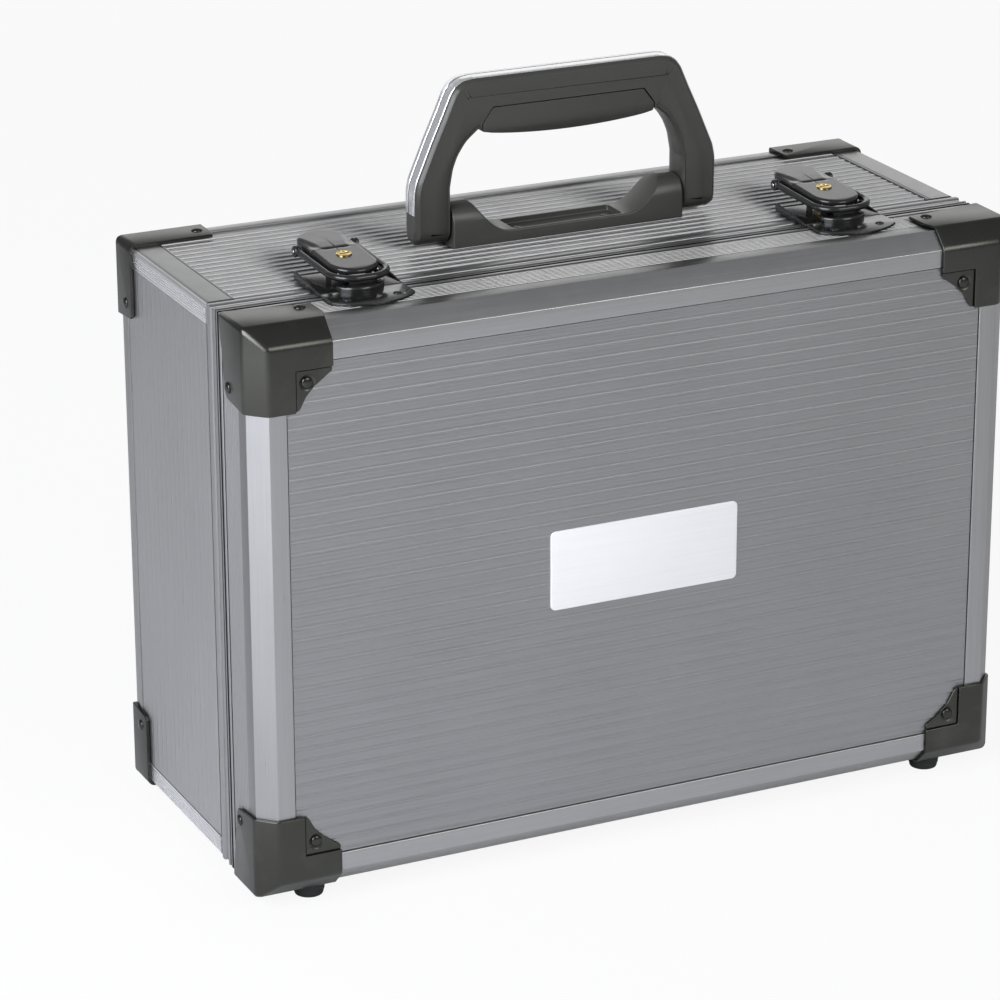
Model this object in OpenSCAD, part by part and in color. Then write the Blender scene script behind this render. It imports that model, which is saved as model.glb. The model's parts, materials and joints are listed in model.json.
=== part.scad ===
// Ribbed tool case that stands on rubber feet: a shallow front lid hinged
// along the bottom, two lever latches and a carrying handle on top.
// Millimetres. +X to the right, +Y to the rear, +Z up, floor at z = 0,
// X and Y measured from the middle of the case.

/* [Case] */
// Width of the case, corner guards left out
body_w = 460; // [440:5:500]
// Height of the case, feet and handle left out
body_h = 322; // [300:2:340]
// Depth of the case from the lid's face to the back
body_d = 192; // [186:2:210]
// Depth of the lid, up to the middle of the split
lid_d = 46; // [46:1:50]
// Height of the rubber feet
foot_h = 10; // [9:1:14]
// Slope of the lid's front edge, measured along each face
chamfer = 9.3; // [8:0.1:11]
// Width of the lid's edge strip seen from the front
edge_w = 19.9; // [18:0.1:22]

/* [Ribbed panels] */
// Distance from one rib to the next
rib_pitch = 7; // [6:0.5:10]
// Flat width of a rib
rib_flat = 4.6; // [3:0.1:5]
// Depth of the groove between two ribs
rib_depth = 0.45; // [0.3:0.05:0.8]
// Thickness of a panel
panel_t = 3; // [2.5:0.1:3.2]

/* [Corner guards] */
// How far a guard stands out from the case
guard_t = 2; // [1.6:0.1:2.4]
// Length of a guard's legs from the case's corner
guard_leg = 45.5; // [42:0.5:50]
// Radius of the rivet heads
rivet_r = 3.25; // [2.8:0.05:3.5]

/* [Latches] */
// Distance of each latch from the middle of the case
latch_x = 147.5; // [140:0.5:152]
// Radius of the wire bail
wire_r = 1.85; // [1.6:0.05:1.9]

/* [Handle] */
// Half length of the handle over its feet
handle_half = 93.2; // [92:0.1:95]
// Height of the handle above the case
handle_h = 94; // [92:0.5:100]
// Thickness of the handle, front to back
handle_t = 21; // [20:0.5:22]
// Radius of the handle's pivot pins
pivot_r = 3; // [2.5:0.1:3.5]

/* [Label] */
// Width of the plain plate on the lid
label_w = 115; // [90:1:130]
// Height of the plain plate
label_h = 46; // [36:1:56]

/* [Output] */
// Which piece to draw

/* [Hidden] */
$fn = 64;
half_w = body_w / 2;
bottom_z = foot_h;
top_z = foot_h + body_h;
mid_z = (top_z + bottom_z) / 2;
front_y = -body_d / 2;
rear_y = body_d / 2;
split_y = front_y + lid_d;
seam = 1.5;              // open seam between the lid's rim and the base's rim
edge_t = 2.2;            // wall of the lid's edge strips
rim_t = 3.8;             // wall of both rims
bar_t = 3.2;             // wall of the corner bars and rear edges
bar_top = 17;            // leg of a corner bar on the top or bottom
bar_side = 12;           // leg of a corner bar on a side
bar_r = 3;               // outer radius of a corner bar
rear_w = 9.5;            // width of the rear edges, both ways
rim_d = 17.5;            // depth of the base's rim
lining_in = 4;           // lining's outside below the case's faces
lining_t = 1.5;
panel_in = 0.4;          // rib tops of the base's panels below the case's faces
face_in = 0.8;           // rib tops of the lid's panel behind its face
face_y = front_y + face_in;
mitre_gap = 0.1;
fit_gap = 0.05;          // play of a pin in its bore, and under a guard
shank_r = 1.6;
rivet_h = 1.4;
small_r = 2.5;
small_h = 1.1;
small_shank = 1.2;

// ---- Shared shapes ----

// A (y, z) outline drawn out along X
module along_x(x0, x1) {
  translate([x0, 0, 0]) rotate([90, 0, 90]) linear_extrude(height = x1 - x0) children();
}

// An (x, z) outline drawn out along Y
module along_y(y0, y1) {
  translate([0, y1, 0]) rotate([90, 0, 0]) linear_extrude(height = y1 - y0) children();
}

// An (x, y) outline drawn out along Z
module along_z(z0, z1) {
  translate([0, 0, z0]) linear_extrude(height = z1 - z0) children();
}

// A box between two corners
module block(a, b) {
  translate(a) cube(b - a);
}

// A rectangle round the origin with round corners
module round_rect(w, h, r) {
  square([w - 2 * r, h], center = true);
  square([w, h - 2 * r], center = true);
  for (sx = [-1, 1], sy = [-1, 1])
    translate([sx * (w / 2 - r), sy * (h / 2 - r)]) circle(r = r);
}

// A solid whose four sides follow one profile of [y, depth below the face]
module ring_solid(prof) {
  n = len(prof);
  intersection() {
    along_x(-half_w - 5, half_w + 5)
      polygon(concat([for (q = prof) [q[0], top_z - q[1]]],
        [for (i = [n - 1:-1:0]) [prof[i][0], bottom_z + prof[i][1]]]));
    along_z(bottom_z - 5, top_z + 5)
      polygon(concat([for (q = prof) [half_w - q[1], q[0]]],
        [for (i = [n - 1:-1:0]) [prof[i][1] - half_w, prof[i][0]]]));
  }
}

// The space inside a ring at one depth below the faces
module ring_hole(y0, y1, depth) {
  block([depth - half_w, y0, bottom_z + depth], [half_w - depth, y1, top_z - depth]);
}

// The lid's sloped outline, at a depth below its faces
function lid_prof(t, y_end) = [
  [front_y + t, chamfer + t * (sqrt(2) - 1)],
  [front_y + chamfer + t * (sqrt(2) - 1), t],
  [y_end, t]];

// The part of a frame that belongs to one side, cut at 45 degrees
module mitred(side) {
  reach = half_w + 6;
  rise = body_h / 2 + 6;
  top = [[mitre_gap - reach, rise], [reach - mitre_gap, rise], [0, rise - reach + mitre_gap]];
  left = [[-reach, rise - mitre_gap], [-reach, mitre_gap - rise],
    [rise - reach - mitre_gap, 0]];
  intersection() {
    children();
    translate([0, 0, mid_z]) along_y(front_y - 5, rear_y + 5) {
      if (side == "top") polygon(top);
      if (side == "bottom") polygon([for (q = top) [q[0], -q[1]]]);
      if (side == "left") polygon(left);
      if (side == "right") polygon([for (q = left) [-q[0], q[1]]]);
    }
  }
}

// Puts a top left corner piece at one of the four corners
module at_corner(right, bottom) {
  translate([0, 0, bottom ? 2 * mid_z : 0]) scale([right ? -1 : 1, 1, bottom ? -1 : 1])
    children();
}

// Outline of a ribbed skin: flat until the first rib, height 0 at the rib tops
function ribbed(s0, s1, first) = concat(
  [[s0, 0]],
  [for (k = [0:floor((s1 - first - 1) / rib_pitch)],
    q = [[0, 0], [rib_flat, 0], [rib_flat + 0.3, -rib_depth], [rib_pitch - 0.3, -rib_depth]])
    if (first + k * rib_pitch + q[0] < s1 - 0.3) [first + k * rib_pitch + q[0], q[1]]],
  [[s1, 0], [s1, -panel_t], [s0, -panel_t]]);

// A round head on a face, with its shank going into the face; it looks to +Z
module rivet(r, h, shank, depth) {
  big = (r * r + h * h) / (2 * h);
  intersection() {
    translate([0, 0, h - big]) sphere(r = big);
    cylinder(r = r + 1, h = h + 1);
  }
  translate([0, 0, -depth]) cylinder(r = shank, h = depth + 0.2);
}

// ---- Base ----

module base_top_panel() {
  color([0.59, 0.59, 0.57]) top_panel_shape();
}

module top_panel_shape() {
  start = split_y + rim_d + 0.2;
  translate([0, 0, top_z - panel_in]) along_x(bar_top - half_w + 0.3, half_w - bar_top - 0.3)
    polygon(ribbed(start, rear_y - rear_w - 0.3, start + 4.3));
}

module base_bottom_panel() {
  color([0.55, 0.55, 0.53]) at_corner(false, true) top_panel_shape();
}

// The side panel on the left; its ribs stand upright
module side_panel_shape() {
  start = split_y + rim_d + 0.2;
  outline = ribbed(start, rear_y - rear_w - 0.3, start + 4.3);
  along_z(bottom_z + bar_side + 0.3, top_z - bar_side - 0.3)
    polygon([for (q = outline) [panel_in - half_w - q[1], q[0]]]);
}

module base_left_panel() {
  color([0.63, 0.63, 0.66]) side_panel_shape();
}

module base_right_panel() {
  color([0.63, 0.63, 0.66]) at_corner(true, false) side_panel_shape();
}

module back_panel() {
  outline = ribbed(bottom_z + rear_w + 0.4, top_z - rear_w - 0.4, bottom_z + rear_w + 4);
  color([0.5, 0.5, 0.52]) along_x(rear_w + 0.4 - half_w, half_w - rear_w - 0.4)
    polygon([for (q = outline) [rear_y - panel_in + q[1], q[0]]]);
}

// One corner bar: smooth on top, finely grooved on the side
module corner_bar_shape() {
  groove = 0.4;
  along_y(split_y + rim_d + 0.2, rear_y - rear_w - 0.2)
    translate([-half_w, top_z]) difference() {
      union() {
        translate([bar_r, -bar_r]) circle(r = bar_r);
        translate([bar_r, -bar_t]) square([bar_top - bar_r, bar_t]);
        translate([0, -bar_side]) square([bar_t, bar_side - bar_r]);
      }
      translate([bar_t, -bar_side - 1]) square([bar_top, bar_side + 1 - bar_t]);
      for (k = [0:3])
        translate([-1, -bar_side + 2.2 + 1.7 * k]) square([1 + groove, 0.6]);
    }
}

module corner_bar_top_left() {
  color([0.66, 0.66, 0.65]) corner_bar_shape();
}

module corner_bar_top_right() {
  color([0.66, 0.66, 0.65]) at_corner(true, false) corner_bar_shape();
}

module corner_bar_bottom_left() {
  color([0.66, 0.66, 0.65]) at_corner(false, true) corner_bar_shape();
}

module corner_bar_bottom_right() {
  color([0.66, 0.66, 0.65]) at_corner(true, true) corner_bar_shape();
}

// The angle strips round the back, with round corners under the guards
module rear_edge(side) {
  y0 = rear_y - rear_w;
  color([0.62, 0.62, 0.62]) mitred(side) difference() {
    intersection() {
      ring_solid([[y0, 0], [rear_y - 1, 0], [rear_y, 1]]);
      translate([0, 0, mid_z]) along_y(y0 - 1, rear_y + 1) round_rect(body_w, body_h, bar_r);
    }
    ring_hole(y0 - 1, rear_y - bar_t, bar_t);
    ring_hole(rear_y - bar_t - 1, rear_y + 1, rear_w);
  }
}

// Ridges of the base's rim, from the split to the rear
function rim_ridge(y) = [for (a = [0:30:180]) [y - 3 * cos(a), 0.9 * (1 - sin(a))]];
base_rim_prof = concat(
  [[split_y, 0.3], [split_y + 0.3, 0], [split_y + 2, 0], [split_y + 2, 0.9],
    [split_y + 3.5, 0.9], [split_y + 3.5, 0], [split_y + 6, 0], [split_y + 6, 1],
    [split_y + 10.3, 1], [split_y + 10.5, 0.9]],
  rim_ridge(split_y + 13.5), [[split_y + rim_d, 0.9]]);

module base_rim() {
  color([0.74, 0.74, 0.75]) difference() {
    ring_solid(base_rim_prof);
    ring_hole(split_y - 1, split_y + rim_d + 1, rim_t);
  }
}

module seal() {
  y0 = split_y - seam + 0.3;
  color([0.04, 0.04, 0.04]) difference() {
    ring_solid([[y0, 0.9], [split_y, 0.9]]);
    ring_hole(y0 - 1, split_y + 1, rim_t);
  }
}

module base_lining() {
  color([0.12, 0.12, 0.13]) difference() {
    ring_hole(split_y + 0.5, rear_y - lining_in, lining_in);
    ring_hole(split_y - 1, rear_y - lining_in - lining_t, lining_in + lining_t);
  }
}

// Rivet places of a rear guard: [position, turn]
rear_leg = guard_leg + 3;
rear_rivets = [
  [[6 + rear_leg / 2 + 12 - half_w, rear_y - rear_w, top_z + guard_t], [0, 0, 0]],
  [[-half_w - guard_t, rear_y - rear_w - 2, top_z - 33.5], [0, -90, 0]]];

// The top left rear guard: an angle bent round three faces
module rear_guard_shape() {
  x_end = rear_leg - half_w;
  z_end = top_z - rear_leg + 7.5;
  y0 = rear_y - 20;
  out_r = bar_r + guard_t;
  difference() {
    intersection() {
      translate([0, 0, mid_z]) along_y(y0, rear_y + guard_t)
        round_rect(body_w + 2 * guard_t, body_h + 2 * guard_t, out_r);
      along_z(mid_z, top_z + 9)
        polygon([[-half_w - 9, y0], [x_end - 1, y0], [x_end, y0 + 3], [x_end, rear_y + 9],
          [-half_w - 9, rear_y + 9]]);
      along_x(-half_w - 9, 0)
        polygon([[y0, z_end + 2], [y0 + 2, z_end], [rear_y + 9, z_end - 1.5],
          [rear_y + 9, top_z + 9], [y0, top_z + 9]]);
      along_y(y0 - 1, rear_y + 9) difference() {
        translate([-half_w - 9, mid_z]) square([half_w, half_w]);
        translate([20 - half_w, mid_z - 1]) square([half_w, top_z - 20 - mid_z + 1]);
      }
    }
    translate([0, 0, mid_z]) along_y(y0 - 1, rear_y + fit_gap)
      round_rect(body_w + 2 * fit_gap, body_h + 2 * fit_gap, bar_r + fit_gap);
    for (q = rear_rivets)
      translate(q[0]) rotate(q[1]) translate([0, 0, -guard_t - 1])
        cylinder(r = shank_r + fit_gap, h = guard_t + 2);
  }
}

module rear_guard_top_left() {
  color([0.25, 0.25, 0.24]) rear_guard_shape();
}

module rear_guard_top_right() {
  color([0.25, 0.25, 0.24]) at_corner(true, false) rear_guard_shape();
}

module rear_guard_bottom_left() {
  color([0.25, 0.25, 0.24]) at_corner(false, true) rear_guard_shape();
}

module rear_guard_bottom_right() {
  color([0.25, 0.25, 0.24]) at_corner(true, true) rear_guard_shape();
}

// Rivets through the rear guards and the base's hinge leaves
module base_rivets() {
  color([0.35, 0.35, 0.34]) {
    for (right = [false, true], bottom = [false, true], q = rear_rivets)
      at_corner(right, bottom) translate(q[0]) rotate(q[1])
        rivet(rivet_r, rivet_h, shank_r, guard_t - fit_gap);
    for (x = hinge_rivet_x)
      translate([x, split_y + leaf_reach, leaf_z0]) rotate([180, 0, 0])
        rivet(small_r, small_h, small_shank, leaf_t);
  }
}

// ---- Bottom hinge ----

hinge_x = 100;
knuckle = 20;
knuckle_r = 3;
hinge_pin_r = 1.5;
leaf_t = 1.2;
leaf_reach = 17;
leaf_w = 26;
leaf_z0 = bottom_z - leaf_t;
axis_z = bottom_z - 3.5;
hinge_rivet_x = [for (s = [-1, 1], k = [-1, 1]) s * hinge_x + k * knuckle];

// One hinge half in the (y, z) plane, to the rear of the axis
module leaf_outline(reach_from) {
  translate([reach_from, leaf_z0]) square([leaf_w - reach_from, leaf_t]);
}

// Leaf and knuckles of one half of a hinge; side is 1 for the base, -1 for the lid
module hinge_half(side) {
  gap = 0.3;
  clear = knuckle_r + 0.4;
  own = side > 0 ? [[-1.5, -0.5], [0.5, 1.5]] : [[-0.5, 0.5]];
  translate([0, split_y, 0]) difference() {
    union() {
      scale([1, side, 1]) along_x(-1.5 * knuckle, 1.5 * knuckle) leaf_outline(clear);
      for (k = own) {
        x0 = k[0] * knuckle + (k[0] > -1.5 ? gap / 2 : 0);
        x1 = k[1] * knuckle - (k[1] < 1.5 ? gap / 2 : 0);
        translate([x0, 0, axis_z]) rotate([0, 90, 0]) cylinder(r = knuckle_r, h = x1 - x0);
        scale([1, side, 1]) along_x(x0, x1) leaf_outline(0.6);
      }
    }
    translate([-2 * knuckle, 0, axis_z]) rotate([0, 90, 0])
      cylinder(r = hinge_pin_r + fit_gap, h = 4 * knuckle);
    for (k = [-1, 1])
      translate([k * knuckle, side * leaf_reach, leaf_z0 - 1])
        cylinder(r = small_shank + fit_gap, h = leaf_t + 2);
  }
}

module hinge_leaves_base() {
  color([0.55, 0.55, 0.55]) for (s = [-1, 1]) translate([s * hinge_x, 0, 0]) hinge_half(1);
}

module hinge_leaves_lid() {
  color([0.55, 0.55, 0.55]) for (s = [-1, 1]) translate([s * hinge_x, 0, 0]) hinge_half(-1);
}

module hinge_pins() {
  color([0.7, 0.7, 0.7]) for (s = [-1, 1])
    translate([s * hinge_x - 1.5 * knuckle - 0.5, split_y, axis_z]) rotate([0, 90, 0])
      cylinder(r = hinge_pin_r, h = 3 * knuckle + 1);
}

// ---- Feet ----

foot_r = 10;
front_foot = [196, front_y + 19.5];
rear_foot = [169, rear_y - 22];

module foot(h) {
  cylinder(r1 = 0.8 * foot_r, r2 = foot_r, h = h);
}

module front_feet() {
  color([0.05, 0.05, 0.05]) for (s = [-1, 1])
    translate([s * front_foot[0], front_foot[1], 0]) foot(bottom_z - guard_t);
}

module rear_feet() {
  color([0.05, 0.05, 0.05]) for (s = [-1, 1])
    translate([s * rear_foot[0], rear_foot[1], 0]) foot(bottom_z + panel_in);
}

// ---- Lid ----

module front_panel() {
  half = edge_w + 0.2;
  outline = ribbed(bottom_z + half, top_z - half, bottom_z + half + 0.5);
  color([0.5, 0.5, 0.52]) along_x(half - half_w, half_w - half)
    polygon([for (q = outline) [face_y - q[1], q[0]]]);
}

// Edge strip of the lid: side face, slope and front face in one piece
module lid_edge(side) {
  y1 = front_y + 19.4;
  color([0.75, 0.75, 0.78]) mitred(side) difference() {
    ring_solid(lid_prof(0, y1));
    ring_solid(lid_prof(edge_t, y1 + 1));
    ring_hole(front_y - 1, front_y + edge_t + 1, edge_w - 0.5);
  }
}

// Rim of the lid: finely ribbed band, a groove, then the lip at the split
lid_rim_prof = concat(
  [for (k = [0:9], q = [[0, 0.15], [1.5, 0.15], [1.5, 0.5], [2.14, 0.5]])
    [front_y + 19.6 + 2.14 * k + q[0], q[1]]],
  [[front_y + 41, 0.8], [front_y + 42, 0.8], [front_y + 42, 0],
    [split_y - seam, 0]]);

module lid_rim() {
  color([0.66, 0.66, 0.69]) difference() {
    ring_solid(lid_rim_prof);
    ring_hole(front_y, split_y, rim_t);
  }
}

module lid_lining() {
  color([0.12, 0.12, 0.13]) difference() {
    ring_solid(lid_prof(lining_in, split_y - seam - 0.5));
    ring_solid(lid_prof(lining_in + lining_t, split_y));
  }
}

// Rivet places of a front guard: side leg, ear, then top leg
ear_y = front_y - 0.6;
front_rivets = [
  [[-half_w - guard_t, front_y + 28.8, top_z - guard_leg + 8.8], [0, -90, 0]],
  [[31 - half_w, ear_y, top_z - 29.8], [90, 0, 0]],
  [[39.5 - half_w, front_y + 28.5, top_z + guard_t], [0, 0, 0]]];

// The top left front guard: three legs round the sloped corner and an ear
module front_guard_shape(last_rivet) {
  leg_x = guard_leg - half_w;
  leg_z = top_z - guard_leg;
  in_x = 20.2 - half_w;
  in_z = top_z - 24.5;
  difference() {
    union() {
      difference() {
        intersection() {
          ring_solid(lid_prof(-guard_t, split_y));
          along_z(mid_z, top_z + 9)
            polygon([[-half_w - 9, front_y - 9], [leg_x, front_y - 9], [leg_x, front_y + 9],
              [leg_x + 2.5, front_y + 17], [leg_x + 2.5, front_y + 33],
              [-half_w - 9, front_y + 41.2]]);
          along_x(-half_w - 9, 0)
            polygon([[front_y - 9, leg_z], [front_y + 9, leg_z], [front_y + 30.6, leg_z + 2.6],
              [front_y + 33, leg_z + 5], [front_y + 41.2, top_z + 9],
              [front_y - 9, top_z + 9]]);
          along_y(front_y - 9, split_y) difference() {
            translate([-half_w - 9, mid_z]) square([half_w, half_w]);
            translate([in_x, mid_z - 1]) square([half_w, in_z - mid_z + 1]);
          }
        }
        ring_solid(lid_prof(-fit_gap, split_y + 1));
      }
      along_y(ear_y, face_y - fit_gap)
        polygon([[edge_w - 0.1 - half_w, top_z - edge_w + 0.1],
          [edge_w - 0.1 - half_w, leg_z + 0.6], [26 - half_w, leg_z + 0.6],
          [27.6 - half_w, leg_z + 3], [30.5 - half_w, leg_z + 8.5],
          [35.5 - half_w, leg_z + 13.5], [41 - half_w, leg_z + 17.5],
          [leg_x - 0.3, leg_z + 20.5], [leg_x - 0.3, top_z - edge_w + 0.1]]);
    }
    for (k = [0:last_rivet])
      translate(front_rivets[k][0]) rotate(front_rivets[k][1]) translate([0, 0, -guard_t - 1])
        cylinder(r = shank_r + fit_gap, h = guard_t + 2);
  }
}

module front_guard_top_left() {
  color([0.25, 0.25, 0.24]) front_guard_shape(2);
}

module front_guard_top_right() {
  color([0.25, 0.25, 0.24]) at_corner(true, false) front_guard_shape(2);
}

module front_guard_bottom_left() {
  color([0.25, 0.25, 0.24]) at_corner(false, true) front_guard_shape(1);
}

module front_guard_bottom_right() {
  color([0.25, 0.25, 0.24]) at_corner(true, true) front_guard_shape(1);
}

// Rivets through the front guards and the lid's hinge leaves
module lid_rivets() {
  color([0.35, 0.35, 0.34]) {
    for (right = [false, true], bottom = [false, true], k = [0:bottom ? 1 : 2])
      at_corner(right, bottom) translate(front_rivets[k][0]) rotate(front_rivets[k][1])
        rivet(rivet_r, rivet_h, shank_r, k == 1 ? 1.3 : guard_t - fit_gap);
    for (x = hinge_rivet_x)
      translate([x, split_y - leaf_reach, leaf_z0]) rotate([180, 0, 0])
        rivet(small_r, small_h, small_shank, leaf_t);
  }
}

module label_plate() {
  color([0.87, 0.87, 0.89]) translate([0, 0, mid_z + 1]) along_y(face_y - 1, face_y)
    round_rect(label_w, label_h, 3);
}

// ---- Latches: local origin at the lid's front face and the case's top ----

lever_axis = [51.3, 9.2];    // (y, z) of the lever's pivot
bail_axis = [94, 11];        // (y, z) of the bail's pivot
lever_pin_r = 1.2;
bail_pin_r = 1.25;
lever_r = 14;                // half width of the lever, and its end radius
nose_y = 44.5;               // front of the lever
sheet = 1.2;
plug_y = 69;
plug_r = 4.45;
bar_y = 39.7;                // centre line of the bail's front bar
bar_z = 9.3;
bail_half = 16.5;
bail_r = 13;

module at_latch(side) {
  translate([side * latch_x, front_y, top_z]) children();
}

// A hole or pin along X, in the middle of the latch
module cross_pin(at, r, half) {
  translate([-half, at[0], at[1]]) rotate([0, 90, 0]) cylinder(r = r, h = 2 * half);
}

catch_rivet = [14.5, 31];
plate_rivets = [60, 77];

// Catch on the lid: arched plate, round step and an upright hook wall
module catch_shape() {
  arch_r = 33.4;
  step_r = 15.3;
  step_y = 54;
  step_end = 44.9;
  wall_r = bail_r - wire_r - 0.45;
  wall_end = 43.6;
  difference() {
    union() {
      along_z(0, sheet) intersection() {
        translate([0, 19.5 + arch_r]) circle(r = arch_r);
        translate([-24.3, 0]) square([48.6, 45.5]);
      }
      intersection() {
        translate([0, step_y, 1]) union() {
          cylinder(r = step_r, h = 2.8);
          translate([0, 0, 2.8]) cylinder(r1 = step_r, r2 = step_r - 1.2, h = 1.2);
        }
        union() {
          block([-step_r, 30, 0.5], [step_r, step_end, 9]);
          for (s = [-1, 1])
            block([s > 0 ? 11.6 : -step_r, 44, 1.8], [s > 0 ? step_r : -11.6, 50, 9]);
        }
      }
      along_z(4.5, 9.4) intersection() {
        union() {
          for (s = [-1, 1])
            translate([s * (bail_half - bail_r), bar_y + bail_r]) circle(r = wall_r);
          translate([bail_r - bail_half, bar_y + bail_r - wall_r])
            square([2 * (bail_half - bail_r), 4]);
        }
        translate([-8.2, 40]) square([16.4, wall_end - 40]);
      }
    }
    for (s = [-1, 1])
      translate([s * catch_rivet[0], catch_rivet[1], -1])
        cylinder(r = small_shank + fit_gap, h = sheet + 2);
  }
}

module catch_left() {
  color([0.06, 0.06, 0.06]) at_latch(-1) catch_shape();
}

module catch_right() {
  color([0.06, 0.06, 0.06]) at_latch(1) catch_shape();
}

module catch_rivets() {
  color([0.1, 0.1, 0.1]) for (side = [-1, 1], s = [-1, 1])
    at_latch(side) translate([s * catch_rivet[0], catch_rivet[1], sheet])
      rivet(small_r, small_h, small_shank, sheet);
}

// Plate on the base: side flanges, two ears for the lever, keeper for the lock
module latch_plate_shape() {
  ear_r = 2.1;
  plate_end = 81;
  difference() {
    union() {
      along_z(0, sheet) difference() {
        translate([-24.5, 46.5]) square([49, plate_end - 46.5]);
        translate([-12.5, 46]) square([25, 6.6]);
      }
      for (x = [-24.5, 24.5 - sheet])
        along_x(x, x + sheet)
          polygon([[49.5, 0], [49.5, 1.5], [plate_end - 1, 4.8], [plate_end, 4], [plate_end, 0]]);
      for (x = [-7.8, 6.6])
        along_x(x, x + sheet) {
          polygon([[54.5, 0.6], [60, 0.6], [52.9, 9.2], [50.3, 7.6]]);
          translate(lever_axis) circle(r = ear_r);
        }
      along_y(plug_y - 3, plug_y + 3)
        polygon([[-9.5, 0.6], [-8.7, 0.6], [-8.7, 5], [-6.6, 5], [-6.6, 6], [-9.5, 6]]);
    }
    cross_pin(lever_axis, lever_pin_r + fit_gap, 12);
    for (y = plate_rivets)
      translate([0, y, -1]) cylinder(r = small_shank + fit_gap, h = sheet + 2);
  }
}

module latch_plate_left() {
  color([0.06, 0.06, 0.06]) at_latch(-1) latch_plate_shape();
}

module latch_plate_right() {
  color([0.06, 0.06, 0.06]) at_latch(1) latch_plate_shape();
}

module lever_pins() {
  color([0.5, 0.5, 0.5]) for (side = [-1, 1])
    at_latch(side) cross_pin(lever_axis, lever_pin_r, 11.8);
}

// Plan of the lever: two round ends joined by straight sides
module lever_plan(inset) {
  end_y = 98;
  r = lever_r - inset;
  for (y = [nose_y + lever_r, end_y]) translate([0, y]) circle(r = r);
  translate([-r, nose_y + lever_r]) square([2 * r, end_y - nose_y - lever_r]);
}

// Lever: pressed channel with a round nose, a raised finger tab and a lock boss
module lever_shape() {
  top = [[nose_y - 1, 10.5], [nose_y, 11], [nose_y + 0.5, 12], [nose_y + 1.5, 12.7],
    [nose_y + 3.5, 13], [90, 15.4], [114, 16.2]];
  rim = [[114, 14.8], [103.4, 14.4], [98.6, 8.4], [90, 6.6], [55, 6.2], [50.2, 6.9],
    [48.9, 9.9], [nose_y - 1, 9.9]];
  wall = 1.3;
  boss_r = plug_r + 1.05;
  difference() {
    union() {
      difference() {
        intersection() {
          along_x(-lever_r - 1, lever_r + 1) polygon(concat(top, rim));
          along_z(0, 20) lever_plan(0);
        }
        intersection() {
          along_x(-lever_r - 1, lever_r + 1)
            polygon([[40, 0], [40, 10.7], [nose_y + 1.3, 11.2], [nose_y + 3.5, 11.6], [90, 14],
              [114, 14.8], [114, 0]]);
          along_z(-1, 20) lever_plan(wall);
        }
      }
      translate([0, plug_y, 5]) cylinder(r = boss_r, h = 8.4);
    }
    translate([0, plug_y, 0]) cylinder(r = plug_r + fit_gap, h = 20);
    cross_pin(lever_axis, lever_pin_r + fit_gap, lever_r + 1);
    cross_pin(bail_axis, bail_pin_r + fit_gap, lever_r + 1);
  }
}

module lever_left() {
  color([0.05, 0.05, 0.05]) at_latch(-1) lever_shape();
}

module lever_right() {
  color([0.05, 0.05, 0.05]) at_latch(1) lever_shape();
}

module bail_pin_shape() {
  cross_pin(bail_axis, bail_pin_r, 19.4);
}

module bail_pin_left() {
  color([0.3, 0.3, 0.3]) at_latch(-1) bail_pin_shape();
}

module bail_pin_right() {
  color([0.3, 0.3, 0.3]) at_latch(1) bail_pin_shape();
}

// Wire bail: front bar, two bends, two arms and an eye on each arm
module bail_shape() {
  arm_y = bar_y + bail_r;
  bend = bail_half - bail_r;
  eye_r = 3.3;
  z = bail_axis[1];
  tilt = asin((z - bar_z) / (bail_axis[0] - bar_y));
  translate([0, bail_axis[0], z]) rotate([tilt, 0, 0]) translate([0, -bail_axis[0], -z]) {
    translate([-bend, bar_y, z]) rotate([0, 90, 0]) cylinder(r = wire_r, h = 2 * bend);
    for (s = [-1, 1]) {
      intersection() {
        translate([s * bend, arm_y, z]) rotate_extrude() translate([bail_r, 0])
          circle(r = wire_r);
        block([s > 0 ? bend : -bend - 20, arm_y - 20, 0],
          [s > 0 ? bend + 20 : -bend, arm_y, 20]);
      }
      translate([s * bail_half, arm_y, z]) rotate([-90, 0, 0])
        cylinder(r = wire_r, h = bail_axis[0] - arm_y - 2.4);
      difference() {
        translate([s > 0 ? 15.2 : -18.9, bail_axis[0], z]) rotate([0, 90, 0])
          cylinder(r = eye_r, h = 3.7);
        cross_pin(bail_axis, bail_pin_r + fit_gap, 25);
      }
    }
  }
}

module bail_left() {
  color([0.1, 0.1, 0.1]) at_latch(-1) bail_shape();
}

module bail_right() {
  color([0.1, 0.1, 0.1]) at_latch(1) bail_shape();
}

// Lock plug: turns in the lever's boss, with a keyway on top and a cam below
module lock_plug_shape() {
  cam_z = 3.2;
  translate([0, plug_y, 0]) {
    difference() {
      translate([0, 0, cam_z + 1.2]) cylinder(r = plug_r, h = 10.4);
      translate([-3, -0.6, 12.8]) cube([6, 1.2, 5]);
    }
    along_z(cam_z, cam_z + 1.4) {
      circle(r = 3.4);
      translate([-2.5, 0]) square([5, 5.7]);
      translate([0, 5.7]) circle(r = 2.5);
    }
  }
}

module lock_plug_left() {
  color([0.78, 0.66, 0.32]) at_latch(-1) lock_plug_shape();
}

module lock_plug_right() {
  color([0.78, 0.66, 0.32]) at_latch(1) lock_plug_shape();
}

// ---- Handle ----

grip_y = front_y + 105.5;    // middle of the handle, front to back
pivot_h = 12;                // height of the handle's axis above the case
bracket_half = 71;
bracket_t = 23;

module at_top(y) {
  translate([0, y, top_z]) children();
}

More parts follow.
